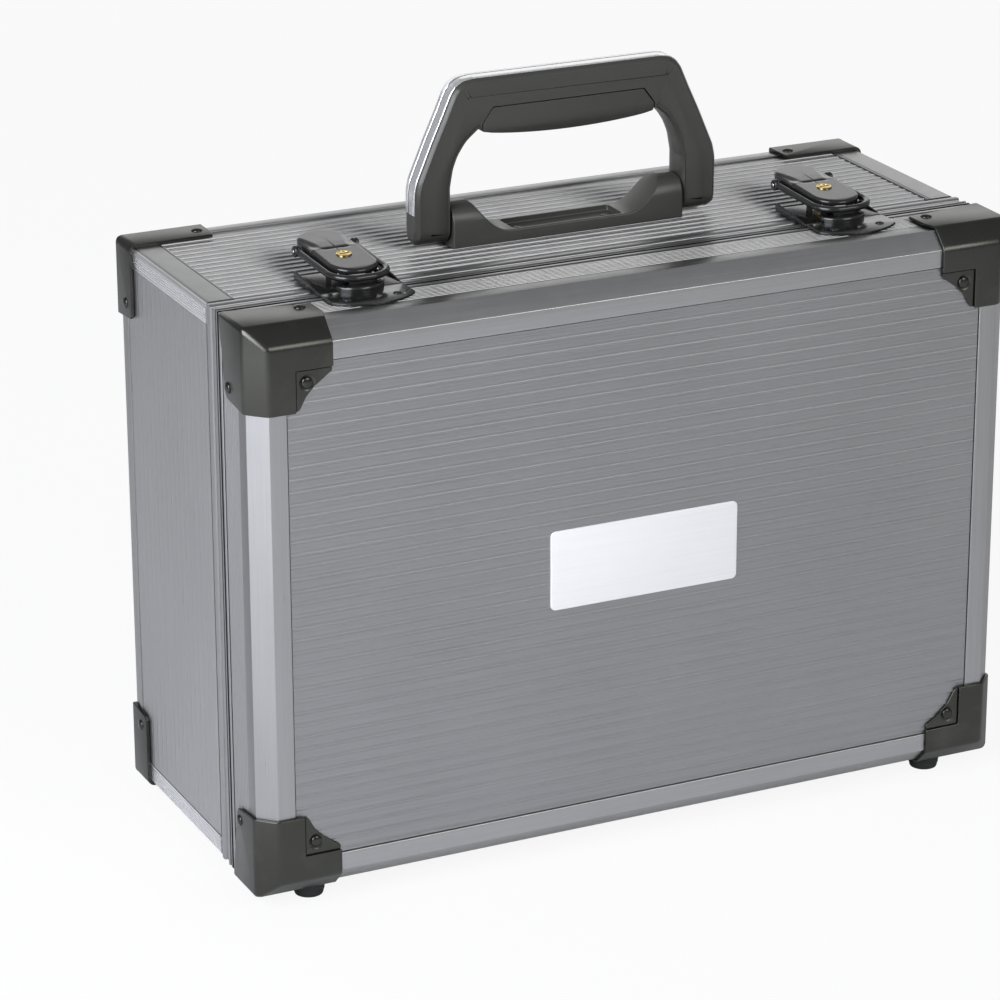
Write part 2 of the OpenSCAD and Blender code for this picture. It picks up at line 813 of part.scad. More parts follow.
// Right half of the handle's outer edge, from the foot to the top
outer_edge = [[handle_half - 2.6, pivot_h - handle_t / 2], [handle_half, 5.5],
  [handle_half, 32], [handle_half - 1.4, 39], [handle_half - 4, 45],
  [handle_half - 10.4, 60], [handle_half - 17.6, 75.5], [handle_half - 22.2, 86],
  [handle_half - 25.4, handle_h - 3.6], [handle_half - 30, handle_h - 0.8],
  [handle_half - 36, handle_h]];
// Right half of its inner edge, from the middle to the foot
inner_edge = [[38, 64.5], [54.8, 64.5], [62, 58.6], [66.8, 51.5], [69.6, 44.5], [71.5, 34],
  [71.5, pivot_h - handle_t / 2]];

function flip(points) = [for (i = [len(points) - 1:-1:0]) [-points[i][0], points[i][1]]];

// The edge line moved inwards by t
function moved(p, t) = [for (i = [0:len(p) - 1])
  let (a = p[max(i - 1, 0)], b = p[min(i + 1, len(p) - 1)], d = b - a, s = norm(d))
  [p[i][0] - t * d[1] / s, p[i][1] + t * d[0] / s]];

inlay_edge = [for (q = outer_edge) if (q[1] > 20) q];
inlay_line = concat([[handle_half, 20]], inlay_edge, flip(inlay_edge), [[-handle_half, 20]]);
inlay_w = 14.4;
inlay_t = 1;

module inlay_shape(grow) {
  edge = moved(inlay_line, inlay_t + grow);
  n = len(edge);
  along_y(-inlay_w / 2 - grow, inlay_w / 2 + grow)
    polygon(concat(inlay_line, [for (i = [n - 1:-1:0]) edge[i]]));
}

// Pad under the grip, let into the body from below
pad_top = 76.6;
module pad_shape(half_t, grow) {
  along_y(-half_t, half_t)
    polygon([[-46 - grow, pad_top + grow], [46 + grow, pad_top + grow], [52.5 + grow, 68],
      [52.5 + grow, 63.5], [44, 61], [22, 59.4], [0, 58.9], [-22, 59.4], [-44, 61],
      [-52.5 - grow, 63.5], [-52.5 - grow, 68]]);
}

module handle_body() {
  color([0.24, 0.24, 0.23]) at_top(grip_y) difference() {
    intersection() {
      along_y(-handle_t / 2, handle_t / 2)
        polygon(concat(outer_edge, flip(outer_edge), flip(inner_edge), inner_edge));
      along_x(-handle_half - 1, handle_half + 1) {
        translate([0, pivot_h]) circle(r = handle_t / 2);
        polygon([[-handle_t / 2, pivot_h], [handle_t / 2, pivot_h],
          [handle_t / 2, handle_h - 2.5], [handle_t / 2 - 2.5, handle_h],
          [2.5 - handle_t / 2, handle_h], [-handle_t / 2, handle_h - 2.5]]);
      }
    }
    inlay_shape(0.02);
    pad_shape(handle_t, 0.02);
    for (s = [-1, 1])
      translate([s > 0 ? bracket_half : -84.5, 0, pivot_h]) rotate([0, 90, 0])
        cylinder(r = pivot_r + fit_gap, h = 84.5 - bracket_half);
  }
}

module handle_pad() {
  color([0.2, 0.2, 0.19]) at_top(grip_y) pad_shape(handle_t / 2 - 0.1, 0);
}

module handle_inlay() {
  color([0.78, 0.78, 0.8]) at_top(grip_y) inlay_shape(0);
}

// Bracket under the handle: two raised ends with hollow slopes and a low tray
module handle_bracket() {
  half = bracket_half;
  slope = [for (k = [0:6]) let (t = k / 6) [57 - 21 * t, 6.3 + 16 * pow(1 - t, 2)]];
  right = concat([[half, -panel_in], [half, 22], [half - 2, 24], [59, 24]], slope);
  color([0.22, 0.22, 0.21]) at_top(grip_y) difference() {
    intersection() {
      along_y(-bracket_t / 2, bracket_t / 2) polygon(concat(right, flip(right)));
      along_x(-half - 1, half + 1) {
        translate([0, 24 - bracket_t / 2]) circle(r = bracket_t / 2);
        translate([-bracket_t / 2, -1]) square([bracket_t, 25 - bracket_t / 2]);
      }
    }
    block([-34, 2 - bracket_t / 2, 3], [34, bracket_t / 2 - 2, 20]);
    for (s = [-1, 1]) {
      translate([s > 0 ? 52 : -half - 1, 0, pivot_h]) rotate([0, 90, 0])
        cylinder(r = pivot_r + fit_gap, h = half + 1 - 52);
      translate([s * 27, 0, -2]) cylinder(r = small_shank + fit_gap, h = 9);
    }
  }
}

module handle_pins() {
  color([0.6, 0.6, 0.6]) at_top(grip_y) for (s = [-1, 1])
    translate([s > 0 ? 52 : -84, 0, pivot_h]) rotate([0, 90, 0])
      cylinder(r = pivot_r, h = 32);
}

// Rivets of the latch plates and of the handle's bracket
module hardware_rivets() {
  color([0.1, 0.1, 0.1]) {
    for (side = [-1, 1], y = plate_rivets)
      at_latch(side) translate([0, y, sheet]) rivet(small_r, small_h, small_shank, sheet);
    for (s = [-1, 1])
      at_top(grip_y) translate([s * 27, 0, 3]) rivet(small_r, small_h, small_shank, 3);
  }
}

// ---- Draw ----

back_panel();
base_top_panel();
base_bottom_panel();
base_left_panel();
base_right_panel();
corner_bar_top_left();
corner_bar_top_right();
corner_bar_bottom_left();
corner_bar_bottom_right();
rear_edge("top");  // rear_edge_top
rear_edge("bottom");  // rear_edge_bottom
rear_edge("left");  // rear_edge_left
rear_edge("right");  // rear_edge_right
base_rim();
seal();
rear_guard_top_left();
rear_guard_top_right();
rear_guard_bottom_left();
rear_guard_bottom_right();
base_rivets();
hardware_rivets();
rear_feet();
handle_bracket();
handle_pins();
latch_plate_left();
latch_plate_right();
lever_pins();
hinge_leaves_base();
hinge_pins();
base_lining();
front_panel();
lid_edge("top");  // lid_edge_top
lid_edge("bottom");  // lid_edge_bottom
lid_edge("left");  // lid_edge_left
lid_edge("right");  // lid_edge_right
lid_rim();
front_guard_top_left();
front_guard_top_right();
front_guard_bottom_left();
front_guard_bottom_right();
lid_rivets();
catch_rivets();
label_plate();
catch_left();
catch_right();
front_feet();
hinge_leaves_lid();
lid_lining();
handle_body();
handle_pad();
handle_inlay();
lever_left();
lever_right();
bail_pin_left();
bail_pin_right();
bail_left();
bail_right();
lock_plug_left();
lock_plug_right();
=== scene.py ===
"""Looks of a ribbed tool case: lid, base, corner guards, latches, handle and feet.

Every size is in millimetres in the part's own frame unless a name ends in _m, and meshes
are written in metres. X runs to the right, Y to the rear and Z up.
"""

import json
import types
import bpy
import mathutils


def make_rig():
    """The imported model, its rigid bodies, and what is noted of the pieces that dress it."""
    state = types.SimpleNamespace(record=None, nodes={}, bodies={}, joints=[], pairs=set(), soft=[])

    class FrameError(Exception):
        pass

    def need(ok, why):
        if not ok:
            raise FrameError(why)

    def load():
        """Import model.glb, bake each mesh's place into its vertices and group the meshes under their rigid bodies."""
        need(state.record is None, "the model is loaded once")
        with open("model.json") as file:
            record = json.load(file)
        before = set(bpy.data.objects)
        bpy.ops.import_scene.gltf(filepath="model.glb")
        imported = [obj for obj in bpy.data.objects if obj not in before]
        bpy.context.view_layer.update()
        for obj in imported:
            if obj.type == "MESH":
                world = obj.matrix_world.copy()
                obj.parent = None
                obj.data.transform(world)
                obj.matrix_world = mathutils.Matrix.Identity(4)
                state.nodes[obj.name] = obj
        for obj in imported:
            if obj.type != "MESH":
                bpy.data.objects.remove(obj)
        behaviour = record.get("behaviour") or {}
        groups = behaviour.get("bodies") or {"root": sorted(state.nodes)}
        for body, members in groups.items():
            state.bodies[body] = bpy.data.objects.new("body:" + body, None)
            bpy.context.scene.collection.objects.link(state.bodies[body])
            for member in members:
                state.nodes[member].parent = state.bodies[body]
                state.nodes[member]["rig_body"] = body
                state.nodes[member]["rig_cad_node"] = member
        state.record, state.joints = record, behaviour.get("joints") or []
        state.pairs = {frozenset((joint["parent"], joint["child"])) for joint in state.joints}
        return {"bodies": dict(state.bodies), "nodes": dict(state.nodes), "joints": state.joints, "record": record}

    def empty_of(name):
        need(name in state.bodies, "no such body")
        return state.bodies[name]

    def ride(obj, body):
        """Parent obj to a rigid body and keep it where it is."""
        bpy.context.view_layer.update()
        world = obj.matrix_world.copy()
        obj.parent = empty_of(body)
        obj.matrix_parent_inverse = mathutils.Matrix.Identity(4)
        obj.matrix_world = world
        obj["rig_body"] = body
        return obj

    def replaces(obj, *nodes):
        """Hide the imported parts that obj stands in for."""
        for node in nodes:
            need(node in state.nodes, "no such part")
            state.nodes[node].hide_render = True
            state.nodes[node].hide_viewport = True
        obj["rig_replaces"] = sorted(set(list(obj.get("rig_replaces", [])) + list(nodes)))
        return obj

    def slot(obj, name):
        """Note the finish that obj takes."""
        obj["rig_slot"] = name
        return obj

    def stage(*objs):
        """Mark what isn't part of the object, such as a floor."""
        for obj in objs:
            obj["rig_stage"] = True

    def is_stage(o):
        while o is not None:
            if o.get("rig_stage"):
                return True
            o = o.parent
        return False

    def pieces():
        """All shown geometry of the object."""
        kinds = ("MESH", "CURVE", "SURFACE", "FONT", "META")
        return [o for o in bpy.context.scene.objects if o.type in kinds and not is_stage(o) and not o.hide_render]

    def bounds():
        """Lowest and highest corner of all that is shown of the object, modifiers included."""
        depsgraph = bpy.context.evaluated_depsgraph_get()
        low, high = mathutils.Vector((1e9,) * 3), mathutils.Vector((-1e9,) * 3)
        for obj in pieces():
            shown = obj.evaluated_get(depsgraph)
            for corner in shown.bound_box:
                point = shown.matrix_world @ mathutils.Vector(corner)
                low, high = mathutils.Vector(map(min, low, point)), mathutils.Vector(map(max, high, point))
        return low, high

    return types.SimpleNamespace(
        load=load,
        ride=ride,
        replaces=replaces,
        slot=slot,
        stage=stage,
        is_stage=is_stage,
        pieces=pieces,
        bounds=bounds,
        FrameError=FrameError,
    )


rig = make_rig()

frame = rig.load()

import json
import logging
import math
from contextlib import contextmanager
from dataclasses import dataclass
from enum import Enum
from functools import cache
from typing import Callable, Iterator, Sequence

import bmesh
import bpy
from mathutils import Matrix, Vector

LOG = logging.getLogger("tool_case")
MM = 0.001
HALF_W = 230.0
BOTTOM = 10.0
TOP = 332.0
MID_Z = (TOP + BOTTOM) / 2
FRONT = -96.0
REAR = 96.0
SPLIT = -50.0
CAD_BOX = [list(corner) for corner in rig.bounds()]

Point2 = tuple[float, float]
Point3 = tuple[float, float, float]
Piece = bpy.types.Object


class Axis(Enum):
    """Direction that an outline is drawn out along, with the axes its two numbers lie on."""

    X = (1, 2, 0)
    Y = (0, 2, 1)
    Z = (0, 1, 2)

    def place(self, point: Point2, along: float) -> Point3:
        """Puts an outline's point at a distance along the axis."""
        spot = [0.0, 0.0, 0.0]
        spot[self.value[0]], spot[self.value[1]], spot[self.value[2]] = point[0], point[1], along
        return (spot[0], spot[1], spot[2])


class Side(Enum):
    """The four sides of a frame, with the corners each one runs between."""

    TOP = ((-1, 1), (1, 1))
    BOTTOM = ((1, -1), (-1, -1))
    LEFT = ((-1, -1), (-1, 1))
    RIGHT = ((1, 1), (1, -1))


# ---------------------------------------------------------------- outlines and meshes


def rounded(points: Sequence[Point2], radii: Sequence[float] | float, steps: int = 5) -> list[Point2]:
    """Rounds the corners of a closed outline.

    Args:
        points: Corners of the outline, in order.
        radii: One radius for all corners, or one for each; 0 keeps a corner sharp.
        steps: Pieces that each arc is made of.

    Returns:
        The outline with an arc in place of each rounded corner.
    """
    count = len(points)
    sizes = [float(radii)] * count if isinstance(radii, (int, float)) else [float(r) for r in radii]
    result: list[Point2] = []
    for i, here in enumerate(points):
        p = Vector(here)
        a, b = Vector(points[i - 1]) - p, Vector(points[(i + 1) % count]) - p
        if sizes[i] <= 0 or a.length < 1e-6 or b.length < 1e-6:
            result.append(here)
            continue
        a_dir, b_dir = a.normalized(), b.normalized()
        half = a_dir.angle(b_dir, math.pi) / 2
        if half > math.radians(89.5):
            result.append(here)
            continue
        cut = min(sizes[i] / math.tan(half), 0.49 * a.length, 0.49 * b.length)
        radius = cut * math.tan(half)
        middle = p + (a_dir + b_dir).normalized() * (radius / math.sin(half))
        start, end = p + a_dir * cut - middle, p + b_dir * cut - middle
        turn = start.angle_signed(end, 0.0)
        for k in range(steps + 1):
            spoke = start.copy()
            spoke.rotate(Matrix.Rotation(-turn * k / steps, 2))
            result.append((middle.x + spoke.x, middle.y + spoke.y))
    return result


def arc(centre: Point2, radius: float, start: float, end: float, steps: int = 12) -> list[Point2]:
    """Points on an arc.

    Args:
        centre: Middle of the arc.
        radius: Its radius.
        start: First angle in degrees, from the outline's first axis to its second.
        end: Last angle in degrees.
        steps: Pieces that the arc is made of.

    Returns:
        The points, first and last included.
    """
    turns = [math.radians(start + (end - start) * k / steps) for k in range(steps + 1)]
    return [(centre[0] + radius * math.cos(t), centre[1] + radius * math.sin(t)) for t in turns]


def doubled(half: Sequence[Point2]) -> list[Point2]:
    """Joins one half of an outline and its mirror image on the other side."""
    return [*half, *[(-x, y) for x, y in reversed(half)]]


def oblong(half_x: float, half_y: float, mid_y: float = 0.0) -> list[Point2]:
    """Corners of an oblong that lies across the middle line."""
    low, high = mid_y - half_y, mid_y + half_y
    return [(-half_x, low), (half_x, low), (half_x, high), (-half_x, high)]


def area(points: Sequence[Point2]) -> float:
    """Signed area of an outline; above 0 where it runs anticlockwise."""
    return sum(p[0] * q[1] - q[0] * p[1] for p, q in zip(points, [*points[1:], points[0]])) / 2


def inset(points: Sequence[Point2], depth: float, closed: bool = True) -> list[Point2]:
    """Moves an outline's points inwards, or an open line's points to its left.

    Args:
        points: The outline, in order.
        depth: How far each edge moves.
        closed: Whether the last point joins the first.

    Returns:
        The moved points, as many as before.
    """
    count = len(points)
    way = 1.0 if not closed or area(points) > 0 else -1.0
    result: list[Point2] = []
    for i, here in enumerate(points):
        p = Vector(here)
        before = Vector(points[i - 1]) if closed or i > 0 else None
        after = Vector(points[(i + 1) % count]) if closed or i < count - 1 else None
        steps = ((p - before) if before else None, (after - p) if after else None)
        lines = [step.normalized() for step in steps if step]
        normals = [Vector((-v.y, v.x)) * way for v in lines if v.length > 0]
        if not normals:
            result.append(here)
            continue
        mean = sum(normals, Vector((0, 0))).normalized()
        spread = max(mean.dot(normals[0]), 0.45)
        result.append((p.x + mean.x * depth / spread, p.y + mean.y * depth / spread))
    return result


def linked(name: str, data: bpy.types.ID) -> Piece:
    """Puts a mesh, lamp or camera into the scene as an object at the origin.

    Args:
        name: Name of the object.
        data: Its mesh, lamp or camera.

    Returns:
        The object.
    """
    piece = bpy.data.objects.new(name, data)
    bpy.context.scene.collection.objects.link(piece)
    return piece


@contextmanager
def edited(mesh: bpy.types.Mesh) -> Iterator[bmesh.types.BMesh]:
    """Opens a mesh for editing and writes the result back into it."""
    work = bmesh.new()
    work.from_mesh(mesh)
    yield work
    work.to_mesh(mesh)
    work.free()


def mesh_object(name: str, points: Sequence[Point3], faces: Sequence[Sequence[int]]) -> Piece:
    """Makes an object whose mesh is in metres, with its normals pointing outwards.

    Args:
        name: Name of the piece.
        points: Corners in millimetres.
        faces: Corner numbers of each face.

    Returns:
        The linked object, at the origin.
    """
    mesh = bpy.data.meshes.new(name)
    mesh.from_pydata([tuple(c * MM for c in p) for p in points], [], [list(f) for f in faces])
    with edited(mesh) as work:
        bmesh.ops.remove_doubles(work, verts=work.verts, dist=1e-7)
        bmesh.ops.recalc_face_normals(work, faces=work.faces)
    return linked(name, mesh)


def stack(name: str, rings: Sequence[Sequence[Point3]], closed: bool = False) -> Piece:
    """Skins a row of rings that have the same number of points.

    Args:
        name: Name of the piece.
        rings: Closed rings in order.
        closed: Whether the last ring joins the first, in place of two end caps.

    Returns:
        The skinned piece.
    """
    size = len(rings[0])
    faces: list[list[int]] = []
    for r in range(len(rings) if closed else len(rings) - 1):
        a, b = r * size, ((r + 1) % len(rings)) * size
        faces += [[a + i, a + (i + 1) % size, b + (i + 1) % size, b + i] for i in range(size)]
    if not closed:
        faces += [list(range(size))[::-1], [(len(rings) - 1) * size + i for i in range(size)]]
    return mesh_object(name, [p for ring in rings for p in ring], faces)


def slab(name: str, outline: Sequence[Point2], axis: Axis, low: float, high: float,
         rim: float = 0.4, rims: tuple[bool, bool] = (True, True), steps: int = 3) -> Piece:
    """Draws an outline out into a solid with rounded rims.

    Args:
        name: Name of the piece.
        outline: Closed outline on the axis's two other directions.
        axis: Direction that it is drawn out along.
        low: Where it starts.
        high: Where it ends.
        rim: Radius of the rims.
        rims: Whether the low and the high rim are rounded.
        steps: Pieces of each rim's arc.

    Returns:
        The closed solid.
    """
    bend = [(rim * (1 - math.sin(t)), rim * (1 - math.cos(t)))
            for t in (math.pi / 2 * k / steps for k in range(steps + 1))]
    levels = [(low + d, i) for i, d in bend] if rims[0] else [(low, 0.0)]
    levels += [(high - d, i) for i, d in reversed(bend)] if rims[1] else [(high, 0.0)]
    return stack(name, [[axis.place(p, at) for p in inset(outline, i)] for at, i in levels])


def lathe(name: str, profile: Sequence[Point2], centre: Point3, axis: Axis, steps: int = 40) -> Piece:
    """Turns a closed (radius, distance) profile round an axis; radius 0 closes a pole.

    Args:
        name: Name of the piece.
        profile: Outline as (radius, distance along the axis from the centre).
        centre: Point on the axis.
        axis: The axis.
        steps: Pieces of the turn.

    Returns:
        The turned piece.
    """
    u, v, w = axis.value
    rings = []
    for k in range(steps):
        t = 2 * math.pi * k / steps
        ring = []
        for r, d in profile:
            spot = list(centre)
            spot[u] += r * math.cos(t)
            spot[v] += r * math.sin(t)
            spot[w] += d
            ring.append(tuple(spot))
        rings.append(ring)
    return stack(name, rings, closed=True)


def tube(name: str, path: Sequence[Point3], radius: float, sides: int = 20) -> Piece:
    """Sweeps a circle along a path that lies flat in Z.

    Args:
        name: Name of the piece.
        path: Points of the centre line.
        radius: Radius of the wire.
        sides: Points round the wire.

    Returns:
        The wire with closed ends.
    """
    rings = []
    for i, here in enumerate(path):
        a, b = Vector(path[max(i - 1, 0)]), Vector(path[min(i + 1, len(path) - 1)])
        along = (b - a).normalized()
        side = along.cross(Vector((0, 0, 1))).normalized()
        up = side.cross(along)
        rings.append([tuple(Vector(here) + radius * (math.cos(t) * side + math.sin(t) * up))
                      for t in (2 * math.pi * k / sides for k in range(sides))])
    return stack(name, rings)


def joined(name: str, pieces: Sequence[Piece]) -> Piece:
    """Puts the meshes of several pieces into one new piece and removes the old ones.

    Args:
        name: Name of the new piece.
        pieces: Pieces that go into it.

    Returns:
        The new piece.
    """
    mesh = bpy.data.meshes.new(name)
    with edited(mesh) as work:
        for piece in pieces:
            work.from_mesh(piece.data)
            bpy.data.objects.remove(piece)
    return linked(name, mesh)


def moved(piece: Piece, change: Callable[[Vector], Vector], flip: bool = False) -> Piece:
    """Moves each corner of a mesh by a rule given in millimetres.

    Args:
        piece: The piece.
        change: Gives a corner's new place.
        flip: Turn the faces round, as a mirrored mesh needs.

    Returns:
        The same piece.
    """
    for corner in piece.data.vertices:
        corner.co = change(corner.co / MM) * MM
    if flip:
        piece.data.flip_normals()
    return piece


def sliced(piece: Piece, axis: Axis, places: Sequence[float]) -> Piece:
    """Cuts extra edge loops into a mesh across an axis, so that it can be bent there.

    Args:
        piece: The piece.
        axis: Axis that the cuts stand across.
        places: Distances along the axis.

    Returns:
        The same piece.
    """
    normal = Vector([1.0 if i == axis.value[2] else 0.0 for i in range(3)])
    with edited(piece.data) as work:
        for place in places:
            bmesh.ops.bisect_plane(work, geom=[*work.verts, *work.edges, *work.faces],
                                   plane_co=normal * place * MM, plane_no=normal)
    return piece


def carved(piece: Piece, cutter: Piece) -> Piece:
    """Cuts one closed piece out of another and removes the cutter.

    Args:
        piece: Piece that is cut.
        cutter: Closed shape to take away.

    Returns:
        The same piece with a new mesh.
    """
    cut = piece.modifiers.new("carve", "BOOLEAN")
    cut.operation, cut.solver, cut.object = "DIFFERENCE", "EXACT", cutter
    baked(piece)
    bpy.data.objects.remove(cutter)
    return piece


def baked(piece: Piece) -> Piece:
    """Turns a piece's modifiers into its plain mesh."""
    graph = bpy.context.evaluated_depsgraph_get()
    graph.update()
    mesh = bpy.data.meshes.new_from_object(piece.evaluated_get(graph))
    mesh.name = piece.name
    piece.modifiers.clear()
    piece.data = mesh
    return piece


def softened(node: str, width: float) -> Piece:
    """Copies a solid of the part, merges its triangles and rounds its edges.

    Args:
        node: Node to copy.
        width: Width of the rounding.

    Returns:
        The copy, named after the node.
    """
    mesh = frame["nodes"][node].data.copy()
    mesh.materials.clear()
    with edited(mesh) as work:
        bmesh.ops.remove_doubles(work, verts=work.verts, dist=2e-6)
        bmesh.ops.dissolve_limit(work, angle_limit=math.radians(0.5), verts=work.verts, edges=work.edges)
        sharp = math.radians(35)
        edges = [e for e in work.edges if len(e.link_faces) == 2 and e.calc_face_angle(0) > sharp]
        bmesh.ops.bevel(work, geom=edges, offset=width * MM, segments=2, profile=0.5,
                        affect="EDGES", clamp_overlap=True)
    return linked(node + "_look", mesh)


def smooth(piece: Piece, degrees: float = 32.0) -> Piece:
    """Shades a piece smooth, with hard edges above an angle."""
    piece.data.shade_smooth()
    piece.data.set_sharp_from_angle(angle=math.radians(degrees))
    return piece


# ---------------------------------------------------------------- shader helpers


@dataclass
class Wire:
    """A socket that can be used in plain arithmetic; each operation adds a Math node."""

    graph: "Graph"
    socket: bpy.types.NodeSocket

    def _math(self, operation: str, *values: "Wire | float") -> "Wire":
        """Adds one Math node."""
        return self.graph.node("ShaderNodeMath", {"operation": operation}, dict(enumerate(values)))

    def __add__(self, other: "Wire | float") -> "Wire":
        """Sum."""
        return self._math("ADD", self, other)

    __radd__ = __add__

    def __mul__(self, other: "Wire | float") -> "Wire":
        """Product."""
        return self._math("MULTIPLY", self, other)

    def __sub__(self, other: "Wire | float") -> "Wire":
        """Difference."""
        return self._math("SUBTRACT", self, other)

    def above(self, level: float) -> "Wire":
        """1 where the value is above the level, else 0."""
        return self._math("GREATER_THAN", self, level)

    def size(self) -> "Wire":
        """The value without its sign."""
        return self._math("ABSOLUTE", self)

    def clipped(self) -> "Wire":
        """The value kept between 0 and 1."""
        return self.graph.node("ShaderNodeClamp", {}, {0: self})


class Graph:
    """A material's node tree with one method for every kind of node."""

    def __init__(self, name: str) -> None:
        """Starts an empty material."""
        self.material = bpy.data.materials.new(name)
        self.material.use_nodes = True
        self.tree = self.material.node_tree
        self.tree.nodes.clear()

    def node(self, kind: str, settings: dict[str, object], values: dict[int | str, object],
             output: int | str = 0) -> Wire:
        """Adds a node.

        Args:
            kind: Type of the node.
            settings: Its settings; "stops" sets a ramp's (position, grey or colour) list.
            values: Values or wires of its inputs, by number or name.
            output: Output that is returned.

        Returns:
            The chosen output.
        """
        made = self.tree.nodes.new(kind)
        for key, value in settings.items():
            if key == "stops":
                ramp = made.color_ramp
                while len(ramp.elements) < len(value):
                    ramp.elements.new(0.5)
                for stop, (place, shade) in zip(ramp.elements, value):
                    stop.position = place
                    stop.color = (*shade, 1) if isinstance(shade, tuple) else (shade, shade, shade, 1)
            else:
                setattr(made, key, value)
        for key, value in values.items():
            if isinstance(value, Wire):
                self.tree.links.new(value.socket, made.inputs[key])
            else:
                made.inputs[key].default_value = value
        return Wire(self, made.outputs[output])

    def place(self, scale: Point3 = (1, 1, 1)) -> Wire:
        """Object coordinates in metres, stretched by a scale."""
        spot = self.node("ShaderNodeTexCoord", {}, {}, "Object")
        return self.node("ShaderNodeMapping", {}, {"Vector": spot, "Scale": scale})

    def axis(self, index: int) -> Wire:
        """One object coordinate in metres."""
        spot = self.node("ShaderNodeTexCoord", {}, {}, "Object")
        return self.node("ShaderNodeSeparateXYZ", {}, {0: spot}, index)

    def noise(self, scale: float, stretch: Point3 = (1, 1, 1), detail: float = 3.0) -> Wire:
        """Noise between 0 and 1; the scale is per metre."""
        return self.node("ShaderNodeTexNoise", {},
                         {"Vector": self.place(stretch), "Scale": scale, "Detail": detail}, "Fac")

    def mix(self, factor: Wire | float, first: object, second: object) -> Wire:
        """Blends two colours."""
        return self.node("ShaderNodeMix", {"data_type": "RGBA"},
                         {0: factor, 6: self._colour(first), 7: self._colour(second)}, 2)

    @staticmethod
    def _colour(value: object) -> object:
        """Gives a plain colour its alpha."""
        return (*value, 1.0) if isinstance(value, tuple) and len(value) == 3 else value

    def bump(self, height: Wire, strength: float, distance_mm: float) -> Wire:
        """Turns a height into a normal."""
        return self.node("ShaderNodeBump", {}, {"Height": height, "Strength": strength,
                                                "Distance": distance_mm * MM})

    def surface(self, values: dict[str, object]) -> bpy.types.Material:
        """Adds the surface shader and the output.

        Args:
            values: Inputs of the surface shader by name.

        Returns:
            The finished material.
        """
        shader = self.node("ShaderNodeBsdfPrincipled", {},
                           {k: self._colour(v) for k, v in values.items()})
        self.node_output(shader)
        return self.material

    def node_output(self, shader: Wire) -> None:
        """Links a shader to the material's output."""
        out = self.tree.nodes.new("ShaderNodeOutputMaterial")
        self.tree.links.new(shader.socket, out.inputs["Surface"])


# ---------------------------------------------------------------- finishes


def tinted(colour: Point3, factor: float, lift: float = 0.0) -> Point3:
    """Scales and lifts a colour, kept at 1 or below."""
    return tuple(min(1.0, factor * c + lift) for c in colour)


@dataclass(frozen=True)
class Anodised:
    """Grey anodised aluminium with fine drawing lines along one axis.

    A painted_light_zone is (axis number, distance from the middle, factor of the colour past it): painted light and
    painted shade, the same metal painted lighter or darker past that distance.
    """

    name: str
    colour: Point3
    along: Axis
    rough: float = 0.38
    metal: float = 1.0
    lines: float = 1.0
    painted_light_zone: tuple[int, float, float] | None = None

    def build(self) -> bpy.types.Material:
        """Makes the material.

        Returns:
            The material.
        """
        g = Graph(self.name)
        run = [2400.0, 2400.0, 2400.0]
        run[self.along.value[2]] = 14.0
        lines = g.noise(1.0, tuple(run), 4.0)
        patches = g.noise(9.0)
        spots = g.noise(150.0, detail=5.0)
        dark, light = tinted(self.colour, 0.86), tinted(self.colour, 1.1)
        shade = (0.5 + (lines - 0.5) * 1.3 * self.lines + (patches - 0.5) * 0.5).clipped()
        rough = self.rough + (patches - 0.5) * 0.10 + (spots - 0.5) * 0.10 + (lines - 0.5) * 0.12
        colour = g.mix(shade, dark, light)
        # Painted light and painted shade: past the given distance the same metal is painted lighter or darker, as a
        # lit or shaded band.
        if self.painted_light_zone:
            index, start, factor = self.painted_light_zone
            painted_light_band = g.axis(index).size().above(start * MM)
            other = g.mix(shade, tinted(dark, factor), tinted(light, factor))
            colour = g.mix(painted_light_band, colour, other)
        return g.surface({"Base Color": colour, "Metallic": self.metal,
                         "Roughness": rough.clipped(),
                         "Normal": g.bump(lines + spots * 0.3, 0.16, 0.03)})


@dataclass(frozen=True)
class Lacquer:
    """Smooth paint over metal: a soft orange peel, dust and light rubbed patches."""

    name: str
    colour: Point3
    rough: float
    peel: float = 0.10
    metal: float = 0.0
    coat: float = 0.0

    def build(self) -> bpy.types.Material:
        """Makes the material.

        Returns:
            The material.
        """
        g = Graph(self.name)
        peel = g.noise(900.0, detail=2.0)
        rubs = g.noise(45.0, detail=5.0)
        dust = g.noise(2600.0, detail=1.0)
        worn = (rubs - 0.52) * 3.0
        dark, light = tinted(self.colour, 0.86), tinted(self.colour, 1.22, 0.004)
        rough = self.rough + (rubs - 0.5) * 0.12 + (dust - 0.5) * 0.05
        return g.surface({"Base Color": g.mix(worn.clipped(), dark, light), "Metallic": self.metal,
                         "Roughness": rough.clipped(), "Coat Weight": self.coat,
                         "Coat Roughness": 0.08,
                         "Normal": g.bump(peel + dust * 0.35, self.peel, 0.05)})


@dataclass(frozen=True)
class Moulded:
    """Moulded plastic or rubber with a fine spark-eroded grain."""

    name: str
    colour: Point3
    rough: float
    grain: float = 0.25
    size: float = 1700.0
    shine: float = 0.5

    def build(self) -> bpy.types.Material:
        """Makes the material.

        Returns:
            The material.
        """
        g = Graph(self.name)
        grain = g.noise(self.size)
        flow = g.noise(20.0, detail=2.0)
        light = tinted(self.colour, 1.3, 0.003)
        rough = self.rough + (grain - 0.5) * 0.16 + (flow - 0.5) * 0.12
        return g.surface({"Base Color": g.mix((grain * 0.6 + flow * 0.4).clipped(), self.colour, light),
                         "Roughness": rough.clipped(), "Specular IOR Level": self.shine,
                         "Normal": g.bump(grain, self.grain, 0.05)})


